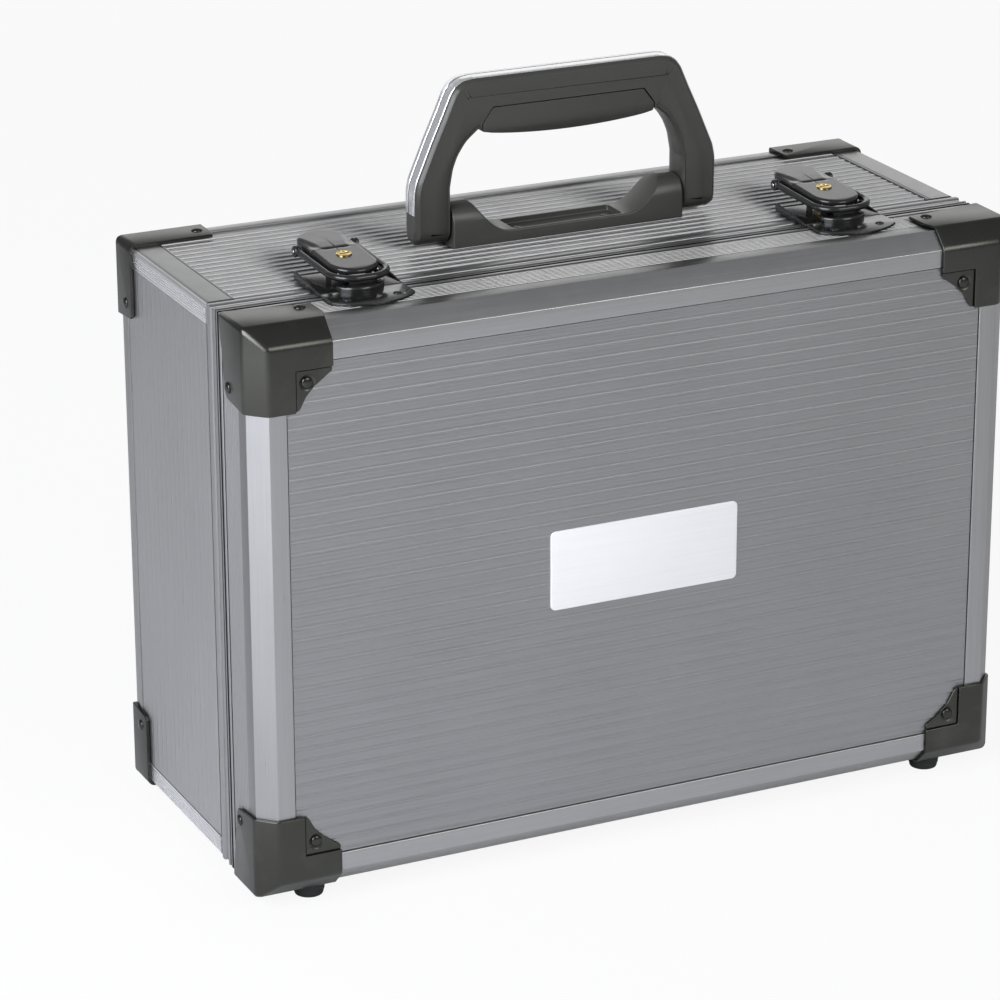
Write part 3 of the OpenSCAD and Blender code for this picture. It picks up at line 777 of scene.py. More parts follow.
@dataclass(frozen=True)
class BareMetal:
    """Bare or plated metal with scratches that run every way, and a little tarnish."""

    name: str
    colour: Point3
    rough: float
    tarnish: Point3
    scratch: float = 0.12

    def build(self) -> bpy.types.Material:
        """Makes the material.

        Returns:
            The material.
        """
        g = Graph(self.name)
        stains = g.noise(240.0, detail=5.0)
        first = g.noise(1.0, (3000.0, 180.0, 900.0), 2.0)
        second = g.noise(1.0, (180.0, 3000.0, 900.0), 2.0)
        worn = ((stains - 0.5) * 2.2 + 0.35).clipped()
        rough = self.rough + (stains - 0.5) * 0.2 + (first - 0.5) * 0.08
        return g.surface({"Base Color": g.mix(worn, self.colour, self.tarnish), "Metallic": 1.0,
                         "Roughness": rough.clipped(),
                         "Normal": g.bump(first + second, self.scratch, 0.02)})


@dataclass(frozen=True)
class Felt:
    """Short dark felt on board."""

    name: str
    colour: Point3

    def build(self) -> bpy.types.Material:
        """Makes the material.

        Returns:
            The material.
        """
        g = Graph(self.name)
        pile = g.noise(2200.0, detail=4.0)
        nap = g.noise(30.0, detail=4.0)
        light = tinted(self.colour, 2.2, 0.01)
        shade = ((pile - 0.5) * 1.5 + (nap - 0.5) * 0.9 + 0.4).clipped()
        return g.surface({"Base Color": g.mix(shade, self.colour, light), "Roughness": 0.95,
                         "Normal": g.bump(pile + nap * 0.5, 0.5, 0.3)})


Finish = Anodised | Lacquer | Moulded | BareMetal | Felt


@cache
def material(finish: Finish) -> bpy.types.Material:
    """Returns a finish's material, which is built the first time."""
    return finish.build()


PROFILE = (0.36, 0.36, 0.362)
# Painted light: the upright sheet on the side faces is painted lighter than the sheet across the front, top, bottom
# and back, for the side faces' brighter light.
SHEET_ACROSS = Anodised("anodised_sheet_across", (0.366, 0.366, 0.372), Axis.X, rough=0.40)
SHEET_UPRIGHT = Anodised("anodised_sheet_upright", (0.435, 0.435, 0.438), Axis.Z, rough=0.42)
PROFILE_X = Anodised("anodised_profile_across", PROFILE, Axis.X, rough=0.32)
PROFILE_Z = Anodised("anodised_profile_upright", PROFILE, Axis.Z, rough=0.32)
# Edge strips: the flat side band keeps a dark base colour as painted shade, and the slope and front band past 86.4 mm
# are painted lighter as painted light; the across and upright strips are lit and shaded copies of one metal.
EDGE_X = Anodised("anodised_edge_across", (0.19, 0.19, 0.191), Axis.X, rough=0.32, painted_light_zone=(1, 86.4, 2.35))
EDGE_Z = Anodised("anodised_edge_upright", (0.24, 0.24, 0.241), Axis.Z, rough=0.32, painted_light_zone=(1, 86.4, 1.75))
# Corner bars: painted light, the serrated side leg past 228.8 mm is painted 3.1 times lighter for the light it catches
# from the side.
BAR = Anodised("anodised_corner_bar", (0.29, 0.29, 0.292), Axis.Y, rough=0.34, painted_light_zone=(0, 228.8, 3.1))
GUARD = Lacquer("guard_dark_satin", (0.088, 0.089, 0.080), 0.30, metal=1.0)
GLOSS = Lacquer("latch_gloss_black", (0.014, 0.014, 0.0135), 0.23, peel=0.05, coat=0.25)
RIVET = Lacquer("rivet_dark", (0.075, 0.075, 0.070), 0.24, peel=0.05, metal=1.0)
HANDLE = Moulded("handle_dark_plastic", (0.040, 0.040, 0.034), 0.34)
PAD = Moulded("handle_pad_plastic", (0.038, 0.038, 0.033), 0.40, grain=0.35)
SILVER = Anodised("handle_silver_strip", (0.80, 0.80, 0.81), Axis.X, rough=0.22, metal=0.8, lines=0.5)
LABEL = Anodised("label_silver_plate", (0.93, 0.93, 0.94), Axis.X, rough=0.36, metal=0.2, lines=0.5)
BRASS = BareMetal("lock_brass", (0.86, 0.62, 0.20), 0.20, (0.52, 0.36, 0.12))
STEEL = BareMetal("plated_steel", (0.52, 0.52, 0.53), 0.30, (0.36, 0.36, 0.37))
RUBBER = Moulded("foot_black_rubber", (0.012, 0.012, 0.012), 0.62, grain=0.4)
SEAL = Moulded("seal_black_rubber", (0.004, 0.004, 0.004), 0.8, grain=0.3, shine=0.05)
LINING = Felt("lining_dark_felt", (0.010, 0.010, 0.011))


def dress(piece: Piece, body: str, nodes: Sequence[str], slot: str, finish: Finish) -> Piece:
    """Gives a piece its finish, its body and the solids it stands for.

    Args:
        piece: The piece.
        body: Body that it rides on.
        nodes: Nodes of the part that it replaces.
        slot: The record's material slot.
        finish: Its finish.

    Returns:
        The same piece.
    """
    piece.data.materials.clear()
    piece.data.materials.append(material(finish))
    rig.ride(piece, body)
    if nodes:
        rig.replaces(piece, *nodes)
    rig.slot(piece, slot)
    LOG.info("%s: %d faces on %s", piece.name, len(piece.data.polygons), body)
    return piece


def paint(node: str, finish: Finish) -> None:
    """Gives a solid of the part its finish, keeping its mesh."""
    piece = frame["nodes"][node]
    piece.data.materials.clear()
    piece.data.materials.append(material(finish))
    LOG.info("%s keeps its solid", node)


# ---------------------------------------------------------------- repeated details


class NodeTree:
    """A geometry node tree with named inputs, made node by node."""

    def __init__(self, name: str, inputs: Sequence[tuple[str, str]]) -> None:
        """Starts the tree.

        Args:
            name: Name of the tree.
            inputs: (name, socket type) of each input after the geometry.
        """
        self.tree = bpy.data.node_groups.new(name, "GeometryNodeTree")
        self.tree.interface.new_socket("Geometry", in_out="INPUT", socket_type="NodeSocketGeometry")
        self.tree.interface.new_socket("Geometry", in_out="OUTPUT", socket_type="NodeSocketGeometry")
        for title, kind in inputs:
            self.tree.interface.new_socket(title, in_out="INPUT", socket_type=kind)
        self.source = self.tree.nodes.new("NodeGroupInput")
        self.sink = self.tree.nodes.new("NodeGroupOutput")

    def add(self, kind: str, settings: dict[str, object], values: dict[int | str, object]) -> bpy.types.Node:
        """Adds a node and links or sets its inputs."""
        made = self.tree.nodes.new(kind)
        for key, value in settings.items():
            setattr(made, key, value)
        for key, value in values.items():
            if isinstance(value, bpy.types.NodeSocket):
                self.tree.links.new(value, made.inputs[key])
            else:
                made.inputs[key].default_value = value
        return made

    def close(self, geometry: bpy.types.NodeSocket) -> None:
        """Realises the instances, sets the material and ends the tree."""
        real = self.add("GeometryNodeRealizeInstances", {}, {0: geometry})
        dressed = self.add("GeometryNodeSetMaterial", {},
                           {0: real.outputs[0], "Material": self.source.outputs["Material"]})
        self.tree.links.new(dressed.outputs[0], self.sink.inputs[0])

    def apply(self, piece: Piece, values: dict[str, object]) -> Piece:
        """Runs the tree on a piece and keeps the plain mesh.

        Args:
            piece: Piece that the tree starts from.
            values: Values of the inputs by name.

        Returns:
            The same piece with the made mesh.
        """
        run = piece.modifiers.new("build", "NODES")
        run.node_group = self.tree
        for item in self.tree.interface.items_tree:
            if item.in_out == "INPUT" and item.name in values:
                run[item.identifier] = values[item.name]
        return baked(piece)


def rib_row_tree() -> NodeTree:
    """A tree that sets one rib side by side, at a steady pitch.

    Returns:
        The tree; inputs Count, Step and Material.
    """
    tree = NodeTree("rib_row", [("Count", "NodeSocketInt"), ("Step", "NodeSocketVector"),
                                ("Material", "NodeSocketMaterial")])
    line = tree.add("GeometryNodeMeshLine", {"mode": "OFFSET"},
                    {"Count": tree.source.outputs["Count"], "Offset": tree.source.outputs["Step"]})
    ribs = tree.add("GeometryNodeInstanceOnPoints", {},
                    {"Points": line.outputs[0], "Instance": tree.source.outputs["Geometry"]})
    tree.close(ribs.outputs[0])
    return tree


def rivet_tree() -> NodeTree:
    """A tree that sets a domed head on each point, looking along the point's facing.

    Returns:
        The tree; inputs Radius, Height and Material, and the facing attribute on the points.
    """
    tree = NodeTree("rivet_heads", [("Radius", "NodeSocketFloat"), ("Height", "NodeSocketFloat"),
                                    ("Material", "NodeSocketMaterial")])
    ball = tree.add("GeometryNodeMeshUVSphere", {}, {"Segments": 32, "Rings": 16, "Radius": 1.0})
    size = tree.add("ShaderNodeCombineXYZ", {}, {0: tree.source.outputs["Radius"],
                                                 1: tree.source.outputs["Radius"],
                                                 2: tree.source.outputs["Height"]})
    dome = tree.add("GeometryNodeTransform", {}, {"Geometry": ball.outputs[0], "Scale": size.outputs[0]})
    shaded = tree.add("GeometryNodeSetShadeSmooth", {}, {"Geometry": dome.outputs[0], "Shade Smooth": True})
    facing = tree.add("GeometryNodeInputNamedAttribute", {"data_type": "FLOAT_VECTOR"}, {"Name": "facing"})
    turn = tree.add("FunctionNodeAlignRotationToVector", {"axis": "Z"}, {"Vector": facing.outputs[0]})
    heads = tree.add("GeometryNodeInstanceOnPoints", {},
                     {"Points": tree.source.outputs["Geometry"], "Instance": shaded.outputs[0],
                      "Rotation": turn.outputs[0]})
    tree.close(heads.outputs[0])
    return tree


RIB_ROW = rib_row_tree()
RIVET_HEADS = rivet_tree()


@dataclass
class RivetGroup:
    """Rivet heads of one size on one body."""

    name: str
    body: str
    slot: str
    nodes: Sequence[str]
    places: Sequence[tuple[Point3, Point3]]
    radius: float
    height: float
    finish: Finish

    def build(self) -> Piece:
        """Sets the heads by Geometry Nodes.

        Returns:
            The dressed piece.
        """
        piece = mesh_object(self.name, [p for p, _ in self.places], [])
        facing = piece.data.attributes.new("facing", "FLOAT_VECTOR", "POINT")
        for i, (_, way) in enumerate(self.places):
            facing.data[i].vector = way
        RIVET_HEADS.apply(piece, {"Radius": self.radius * MM, "Height": self.height * MM,
                                  "Material": material(self.finish)})
        return dress(piece, self.body, self.nodes, self.slot, self.finish)


# ---------------------------------------------------------------- case


@dataclass
class RibbedPanel:
    """A sheet with a bead and two fine lines to each rib, made from one rib by a node tree."""

    name: str
    node: str
    body: str
    across: Axis
    row: Axis
    outward: int
    face: float
    start: float
    end: float
    low: float
    high: float
    pitch: float = 7.0
    thick: float = 3.0
    groove: float = -0.42
    relief: float = 0.6
    fine: float = 1.0
    finish: Finish = SHEET_ACROSS

    def rib(self) -> list[Point2]:
        """Outline of one rib: a bead and two fine lines.

        Returns:
            Points as (distance along the row, height over the sheet's face).
        """
        third = self.pitch / 3
        top = [(0.0, self.groove), (0.25, -0.40), (0.42, -0.12), (0.62, 0.0), (0.9, 0.0), (1.1, -0.1),
               (1.28, -0.30)]
        for k in (1, 2):
            mid = third * k + 0.35
            top += [(mid - 0.22, -0.27), (mid, -0.27 - 0.19 * self.fine), (mid + 0.22, -0.27)]
        top += [(self.pitch - 0.3, -0.26), (self.pitch, self.groove)]
        return [(along, height * self.relief) for along, height in top]

    def outline_points(self, row: float, height: float, along: float) -> Point3:
        """Places a point given by its row, height and distance along the rib."""
        spot = [0.0, 0.0, 0.0]
        spot[self.row.value[2]] = row
        spot[self.across.value[2]] = along
        normal = 3 - self.row.value[2] - self.across.value[2]
        spot[normal] = self.face + self.outward * height
        return (spot[0], spot[1], spot[2])

    def build(self) -> Piece:
        """Builds the panel: a row of ribs and a plain strip at both ends.

        Returns:
            The dressed piece.
        """
        count = int((self.end - self.start - 1.2) // self.pitch)
        margin = (self.end - self.start - count * self.pitch) / 2
        first = self.start + margin

        def bar(name: str, outline: Sequence[Point2]) -> Piece:
            """Draws a closed outline of (row, height) along the ribs."""
            return stack(name, [[self.outline_points(r, h, a) for r, h in outline]
                                for a in (self.low, self.high)])

        top = self.rib()
        under = [(first + self.pitch, -self.thick), (first, -self.thick)]
        rib = bar(self.name, [(first + r, h) for r, h in top] + under)
        step = [0.0, 0.0, 0.0]
        step[self.row.value[2]] = self.pitch * MM
        RIB_ROW.apply(rib, {"Count": count, "Step": step, "Material": material(self.finish)})
        last = first + count * self.pitch
        low = self.groove * self.relief
        strips = [bar("strip", [(a, low), (b, low), (b, -self.thick), (a, -self.thick)])
                  for a, b in ((self.start, first), (last, self.end)) if b - a > 0.05]
        piece = smooth(joined(self.name, [rib, *strips]), 50)
        return dress(piece, self.body, [self.node], "ribbed_aluminium", self.finish)


def frame_ring(name: str, profile: Sequence[Point2], sides: Sequence[Side] = tuple(Side),
               gap: float = 0.0) -> Piece:
    """Runs one closed profile of (y, depth below the case's faces) round the case.

    Args:
        name: Name of the piece.
        profile: The closed profile.
        sides: All four sides for one unbroken ring, or one side for a mitred bar.
        gap: Cut back from each mitre.

    Returns:
        The piece.
    """
    def corner(sx: int, sz: int, y: float, depth: float, slide: Point2 = (0, 0)) -> Point3:
        """A profile's point at one corner of the case."""
        return (sx * (HALF_W - depth) + slide[0], y, MID_Z + sz * ((TOP - BOTTOM) / 2 - depth) + slide[1])

    if len(sides) == 4:
        order = [(-1, 1), (1, 1), (1, -1), (-1, -1)]
        return stack(name, [[corner(sx, sz, y, d) for y, d in profile] for sx, sz in order], closed=True)
    (ax, az), (bx, bz) = sides[0].value
    way = Vector((bx - ax, bz - az)).normalized() * gap
    return stack(name, [[corner(ax, az, y, d, (way.x, way.y)) for y, d in profile],
                        [corner(bx, bz, y, d, (-way.x, -way.y)) for y, d in profile]])


@dataclass
class LidShell:
    """The lid's panel, edge strips, rim, label plate and lining."""

    edge_t: float = 2.2
    edge_w: float = 19.55
    side_w: float = 19.4
    slope: float = 9.3
    panel_in: float = 20.0
    rim_t: float = 3.8
    rim_ribs: int = 10
    rim_pitch: float = 2.14
    label: Point2 = (115.0, 46.0)

    def edges(self) -> None:
        """Four mitred strips with a sloped front edge."""
        inner = self.slope + self.edge_t * (math.sqrt(2) - 1)
        corners = [(0.0, self.edge_w), (0.0, self.slope), (self.slope, 0.0), (self.side_w, 0.0),
                   (self.side_w, self.edge_t), (inner, self.edge_t), (self.edge_t, inner),
                   (self.edge_t, self.edge_w)]
        radii = [0.7, 0.8, 0.8, 0.5, 0.3, 0.5, 0.5, 0.3]
        profile = rounded([(FRONT + back, depth) for back, depth in corners], radii, 4)
        for side, finish in ((Side.TOP, EDGE_X), (Side.BOTTOM, EDGE_X),
                             (Side.LEFT, EDGE_Z), (Side.RIGHT, EDGE_Z)):
            node = "lid_edge_" + side.name.lower()
            piece = smooth(frame_ring(node + "_look", profile, [side], 0.1))
            dress(piece, "lid", [node], "anodised_profile", finish)

    def rim(self) -> None:
        """The ring behind the edge strips: fine ribs, a groove and the lip at the seam."""
        start, end = FRONT + 19.6, SPLIT - 1.5
        rib = [(0.0, 0.5), (0.12, 0.28), (0.42, 0.15), (1.2, 0.15), (1.5, 0.28), (1.62, 0.5)]
        outer = [(start + self.rim_pitch * k + y, depth) for k in range(self.rim_ribs) for y, depth in rib]
        outer += [(FRONT + 41, 0.5), (FRONT + 41, 1.0), (FRONT + 42, 1.0), (FRONT + 42, 0.3),
                  (FRONT + 42.3, 0.0), (end - 0.4, 0.0), (end, 0.4)]
        profile = outer + [(end, self.rim_t), (start, self.rim_t)]
        piece = smooth(frame_ring("lid_rim_look", profile), 25)
        dress(piece, "lid", ["lid_rim"], "anodised_profile", PROFILE_X)

    def plate(self) -> None:
        """The plain plate in the middle of the panel."""
        w, h = self.label[0] / 2, self.label[1] / 2
        outline = rounded(oblong(w, h, MID_Z + 1), 3.0, 8)
        piece = slab("label_plate_look", outline, Axis.Y, FRONT - 0.2, FRONT + 0.8, 0.35, (True, False))
        dress(smooth(piece), "lid", ["label_plate"], "label_metal", LABEL)

    def build(self) -> None:
        """Builds the lid's own pieces."""
        d = self.panel_in
        RibbedPanel("front_panel_look", "front_panel", "lid", Axis.X, Axis.Z, -1, FRONT + 0.8,
                    BOTTOM + d, TOP - d, d - HALF_W, HALF_W - d, relief=0.55, fine=0.35).build()
        self.edges()
        self.rim()
        self.plate()
        paint("lid_lining", LINING)


@dataclass
class BaseShell:
    """The base's panels, corner bars, rear edges, rim, seal and lining."""

    bar_top: float = 17.0
    bar_side: float = 12.0
    bar_t: float = 3.2
    rim_t: float = 3.8
    rim_d: float = 17.5
    rear_w: float = 9.5

    def panels(self) -> None:
        """The five ribbed sheets."""
        y0, y1 = SPLIT + self.rim_d + 0.2, REAR - self.rear_w - 0.3
        x = HALF_W - self.bar_top - 0.3
        side = (BOTTOM + self.bar_side + 0.3, TOP - self.bar_side - 0.3)
        depth = HALF_W - 0.4
        for name, across, outward, face, low, high, relief, finish in (
                ("base_top_panel", Axis.X, 1, TOP - 0.4, -x, x, 2.0, SHEET_ACROSS),
                ("base_bottom_panel", Axis.X, -1, BOTTOM + 0.4, -x, x, 2.0, SHEET_ACROSS),
                ("base_left_panel", Axis.Z, -1, -depth, *side, 0.28, SHEET_UPRIGHT),
                ("base_right_panel", Axis.Z, 1, depth, *side, 0.28, SHEET_UPRIGHT)):
            RibbedPanel(name + "_look", name, "base", across, Axis.Y, outward, face,
                        y0, y1, low, high, relief=relief, finish=finish).build()
        RibbedPanel("back_panel_look", "back_panel", "base", Axis.X, Axis.Z, 1, REAR - 0.4,
                    BOTTOM + self.rear_w + 0.4, TOP - self.rear_w - 0.4,
                    self.rear_w + 0.4 - HALF_W, HALF_W - self.rear_w - 0.4).build()

    def bars(self) -> None:
        """Four corner bars: a smooth leg on top and a serrated leg on the side."""
        t, top, side = self.bar_t, self.bar_top, self.bar_side
        outline: list[Point2] = [(top, -0.3), (top, -t), (t, -t), (t, -side), (0.35, -side),
                                 (0.0, -side + 0.35), (0.0, -side + 1.0), (0.7, -side + 1.25),
                                 (0.7, -side + 2.1)]
        for k in range(5):
            z = -side + 2.3 + 1.35 * k
            outline += [(0.02, z), (0.02, z + 0.7), (0.5, z + 0.78), (0.5, z + 1.25)]
        outline += [(0.0, -3.0), *arc((3, -3), 3, 165, 90, 5)]
        outline += [(top - 1.9, 0.0), (top - 1.7, -0.35), (top - 1.3, -0.35), (top - 1.1, 0.0),
                    (top - 0.3, 0.0)]
        for right in (False, True):
            for bottom in (False, True):
                node = f"corner_bar_{'bottom' if bottom else 'top'}_{'right' if right else 'left'}"
                spot = [((1 if right else -1) * (HALF_W - u), (BOTTOM - v) if bottom else (TOP + v))
                        for u, v in outline]
                piece = stack(node + "_look", [[(p[0], y, p[1]) for p in spot]
                                               for y in (SPLIT + self.rim_d + 0.2, REAR - self.rear_w - 0.2)])
                dress(smooth(piece), "base", [node], "anodised_profile", BAR)

    def rim(self) -> None:
        """The ridged ring behind the seam."""
        y = SPLIT
        ridges = [(0.55, 0.5), (0.65, 0.1), (0.85, 0.0), (1.6, 0.0), (1.9, 0.15), (2.0, 0.9), (3.5, 0.9),
                  (3.6, 0.15), (3.9, 0.0), (5.6, 0.0), (5.9, 0.15), (6.0, 1.0), (10.3, 1.0)]
        profile = [(y + back, depth) for back, depth in ridges]
        profile += [(y + 13.6 - 3.2 * math.cos(a), 1.0 - 1.0 * math.sin(a)) for a in
                    (math.pi * k / 12 for k in range(13))]
        profile += [(y + self.rim_d, 1.0), (y + self.rim_d, self.rim_t), (y + 0.55, self.rim_t)]
        dress(smooth(frame_ring("base_rim_look", profile), 28), "base", ["base_rim"],
              "anodised_profile", PROFILE_X)

    def build(self) -> None:
        """Builds the base's own pieces."""
        self.panels()
        self.bars()
        self.rim()
        for side, finish in (("top", PROFILE_X), ("bottom", PROFILE_X), ("left", PROFILE_Z),
                             ("right", PROFILE_Z)):
            dress(smooth(softened("rear_edge_" + side, 0.45)), "base", ["rear_edge_" + side],
                  "anodised_profile", finish)
        front, back = SPLIT - 1.4, SPLIT + 0.6
        seal = [(front, 0.5), (front + 0.2, 0.14), (back, 0.14), (back, 2.9), (front, 2.9)]
        dress(smooth(frame_ring("seal_look", seal)), "base", ["seal"], "black_rubber", SEAL)
        paint("base_lining", LINING)


# ---------------------------------------------------------------- corner guards


@dataclass
class Guard:
    """A pressed guard given by its outer faces, which is rounded and then given its wall."""

    corners: dict[str, Point3]
    faces: Sequence[str]
    wall: float
    soft: dict[str, float]

    def shell(self, name: str) -> Piece:
        """Builds the open outer skin, rounds its folds and thickens it inwards.

        Args:
            name: Name of the piece.

        Returns:
            The closed shell of the top left guard.
        """
        mesh = bpy.data.meshes.new(name)
        largest = max(self.soft.values())
        with edited(mesh) as work:
            layer = work.edges.layers.float.new("bevel_weight_edge")
            spots = {k: work.verts.new([c * MM for c in self.corners[k]]) for k in self.corners}
            for face in self.faces:
                work.faces.new([spots[k] for k in face])
            bmesh.ops.recalc_face_normals(work, faces=work.faces)
            middle = Vector((-180, 0, 280)) * MM
            if sum((f.calc_center_median() - middle).dot(f.normal) for f in work.faces) < 0:
                bmesh.ops.reverse_faces(work, faces=work.faces)
            for pair, radius in self.soft.items():
                work.edges.get([spots[k] for k in pair])[layer] = radius / largest
        piece = linked(name, mesh)
        fold = piece.modifiers.new("fold", "BEVEL")
        fold.limit_method, fold.width, fold.segments = "WEIGHT", largest * MM, 5
        wall = piece.modifiers.new("wall", "SOLIDIFY")
        wall.thickness, wall.offset, wall.use_even_offset = self.wall * MM, -1.0, True
        rim = piece.modifiers.new("rim", "BEVEL")
        rim.limit_method, rim.angle_limit = "ANGLE", math.radians(50)
        rim.width, rim.segments = 0.6 * MM, 3
        return baked(piece)


def mirrored(piece: Piece, name: str, right: bool, bottom: bool) -> Piece:
    """Copies a top left piece to another corner of the case.

    Args:
        piece: The top left piece, which stays as it is.
        name: Name of the copy.
        right: Mirror it to the right side.
        bottom: Mirror it to the bottom.

    Returns:
        The copy.
    """
    copy = linked(name, piece.data.copy())

    def place(p: Vector) -> Vector:
        """Mirrors a corner."""
        return Vector((-p.x if right else p.x, p.y, 2 * MID_Z - p.z if bottom else p.z))

    return moved(copy, place, flip=right != bottom)


@dataclass
class CornerGuards:
    """The eight guards with their rivets."""

    proud: float = 2.0
    leg: float = 45.5
    dish_r: float = 4.7
    ear_gap: float = 0.7
    ear_rivet: Point2 = (-199.0, 302.2)

    def front_corner(self) -> Piece:
        """The top left front guard with its ear.

        Returns:
            The shell.
        """
        x0, y0, z0 = -HALF_W - self.proud, FRONT - self.proud, TOP + self.proud
        cut = 9.3 + self.proud * (2 - math.sqrt(2))
        leg_x, leg_z = self.leg - HALF_W, TOP - self.leg
        in_x, in_z = -205.8, TOP - 22.4
        spots = {
            "A": (x0, FRONT + 40.1, z0), "B": (leg_x + 2.5, FRONT + 33, z0),
            "C": (leg_x + 2.5, FRONT + 17, z0),
            "D": (leg_x, y0 + cut, z0), "E": (x0, y0 + cut, z0), "F": (x0 + cut, y0, z0 - cut),
            "G": (leg_x, y0, z0 - cut), "H": (leg_x, y0, in_z), "I": (in_x, y0, in_z),
            "J": (in_x, y0, leg_z), "K": (x0 + cut, y0, leg_z), "L": (x0, y0 + cut, leg_z),
            "M": (x0, FRONT + 30.6, leg_z + 2.6), "N": (x0, FRONT + 33, leg_z + 5)}
        guard = Guard(spots, ("ABCDE", "AELMN", "EDGF", "EFKL", "FGHIJK"), self.proud - 0.1,
                      {"AE": 2.6, "DE": 1.9, "EL": 1.9, "FG": 2.1, "FK": 2.1, "EF": 2.4})
        shell = guard.shell("front_shell")
        ear_points = [(-210.2, TOP - 19.8), (-210.2, leg_z + 0.6), (-204, leg_z + 0.6), (-202.4, leg_z + 3),
                      (-199.5, leg_z + 8.5), (-194.5, leg_z + 13.5), (-189, leg_z + 17.5),
                      (leg_x - 0.3, leg_z + 20.5), (leg_x - 0.3, TOP - 19.8)]
        outline = rounded(ear_points, [0, 0.5, 1.6, 6, 14, 14, 6, 1.6, 0], 4)
        ear = slab("ear", outline, Axis.Y, FRONT - 0.6, FRONT + 0.75, 0.35, (True, False))
        x, z = self.ear_rivet
        r = self.dish_r
        bowl = [(0.0, -3.0), (r + 0.5, -3.0), (r + 0.5, -0.4), (r, -0.05), (r - 0.6, 0.42), (0.0, 0.5)]
        dish = lathe("dish", bowl, (x, FRONT - 0.6, z), Axis.Y, 40)
        carved(ear, dish)
        gap = self.ear_gap
        groove = [(in_x, leg_z - 1), (in_x + gap, leg_z - 1), (in_x + gap, in_z - gap),
                  (leg_x + 1, in_z - gap), (leg_x + 1, in_z), (in_x, in_z)]
        carved(ear, slab("groove", groove, Axis.Y, FRONT - 1.5, FRONT + 0.25, 0.0, (False, False)))
        return smooth(joined("front_corner", [shell, ear]), 38)

    def rear_corner(self) -> Piece:
        """The top left rear guard, folded round three faces.

        Returns:
            The shell.
        """
        x0, y1, z0 = -HALF_W - self.proud, REAR + self.proud, TOP + self.proud
        y0 = REAR - 20
        end_x, end_z = -181.5, TOP - 41.0
        spots = {
            "A": (x0, y0, z0), "B": (end_x - 1, y0, z0), "C": (end_x, y0 + 3, z0), "D": (end_x, y1, z0),
            "E": (x0, y1, z0), "F": (end_x, y1, TOP - 20), "G": (-210.0, y1, TOP - 20),
            "H": (-210.0, y1, end_z - 1.5), "I": (x0, y1, end_z - 1.5), "J": (x0, y0 + 2, end_z),
            "K": (x0, y0, end_z + 2)}
        guard = Guard(spots, ("ABCDE", "AEIJK", "EDFGHI"), self.proud - 0.1,
                      {"AE": 4.6, "DE": 1.4, "EI": 1.4})
        return smooth(guard.shell("rear_corner"), 38)

    def build(self) -> None:
        """Builds all guards and sets their rivets."""
        front, rear = self.front_corner(), self.rear_corner()
        x, z = self.ear_rivet
        side, top = -HALF_W - self.proud, TOP + self.proud
        front_places = [((side, FRONT + 28.8, TOP - self.leg + 8.8), (-1, 0, 0)),
                        ((x, FRONT - 0.15, z), (0, -1, 0)), ((-190.5, FRONT + 28.5, top), (0, 0, 1))]
        rear_places = [((-187.75, REAR - 9.5, top), (0, 0, 1)), ((side, REAR - 11.5, TOP - 33.5), (-1, 0, 0))]
        spots: dict[str, list[tuple[Point3, Point3]]] = {"lid": [], "base": []}
        for right in (False, True):
            for bottom in (False, True):
                where = f"{'bottom' if bottom else 'top'}_{'right' if right else 'left'}"
                for body, part, shape, places in (("lid", "front", front, front_places[:2 if bottom else 3]),
                                                  ("base", "rear", rear, rear_places)):
                    node = f"{part}_guard_{where}"
                    dress(mirrored(shape, node + "_look", right, bottom), body, [node], "guard_metal", GUARD)
                    sx, sz = (-1 if right else 1), (-1 if bottom else 1)
                    for p, n in places:
                        spots[body].append(((sx * p[0], p[1], MID_Z + sz * (p[2] - MID_Z)),
                                            (sx * n[0], n[1], sz * n[2])))
        bpy.data.objects.remove(front)
        bpy.data.objects.remove(rear)
        for body, places in spots.items():
            way = -1 if body == "lid" else 1
            leaf = [((s * 100 + k * 20, SPLIT + way * 17, BOTTOM - 1.2), (0, 0, -1))
                    for s in (-1, 1) for k in (-1, 1)]
            for kind, at, radius, height, finish in (("guard", places, 3.25, 1.35, RIVET),
                                                     ("hinge", leaf, 2.5, 1.05, STEEL)):
                RivetGroup(f"{body}_{kind}_rivets", body, "dark_rivet", [f"{body}_rivets"], at,
                           radius, height, finish).build()


# ---------------------------------------------------------------- latches


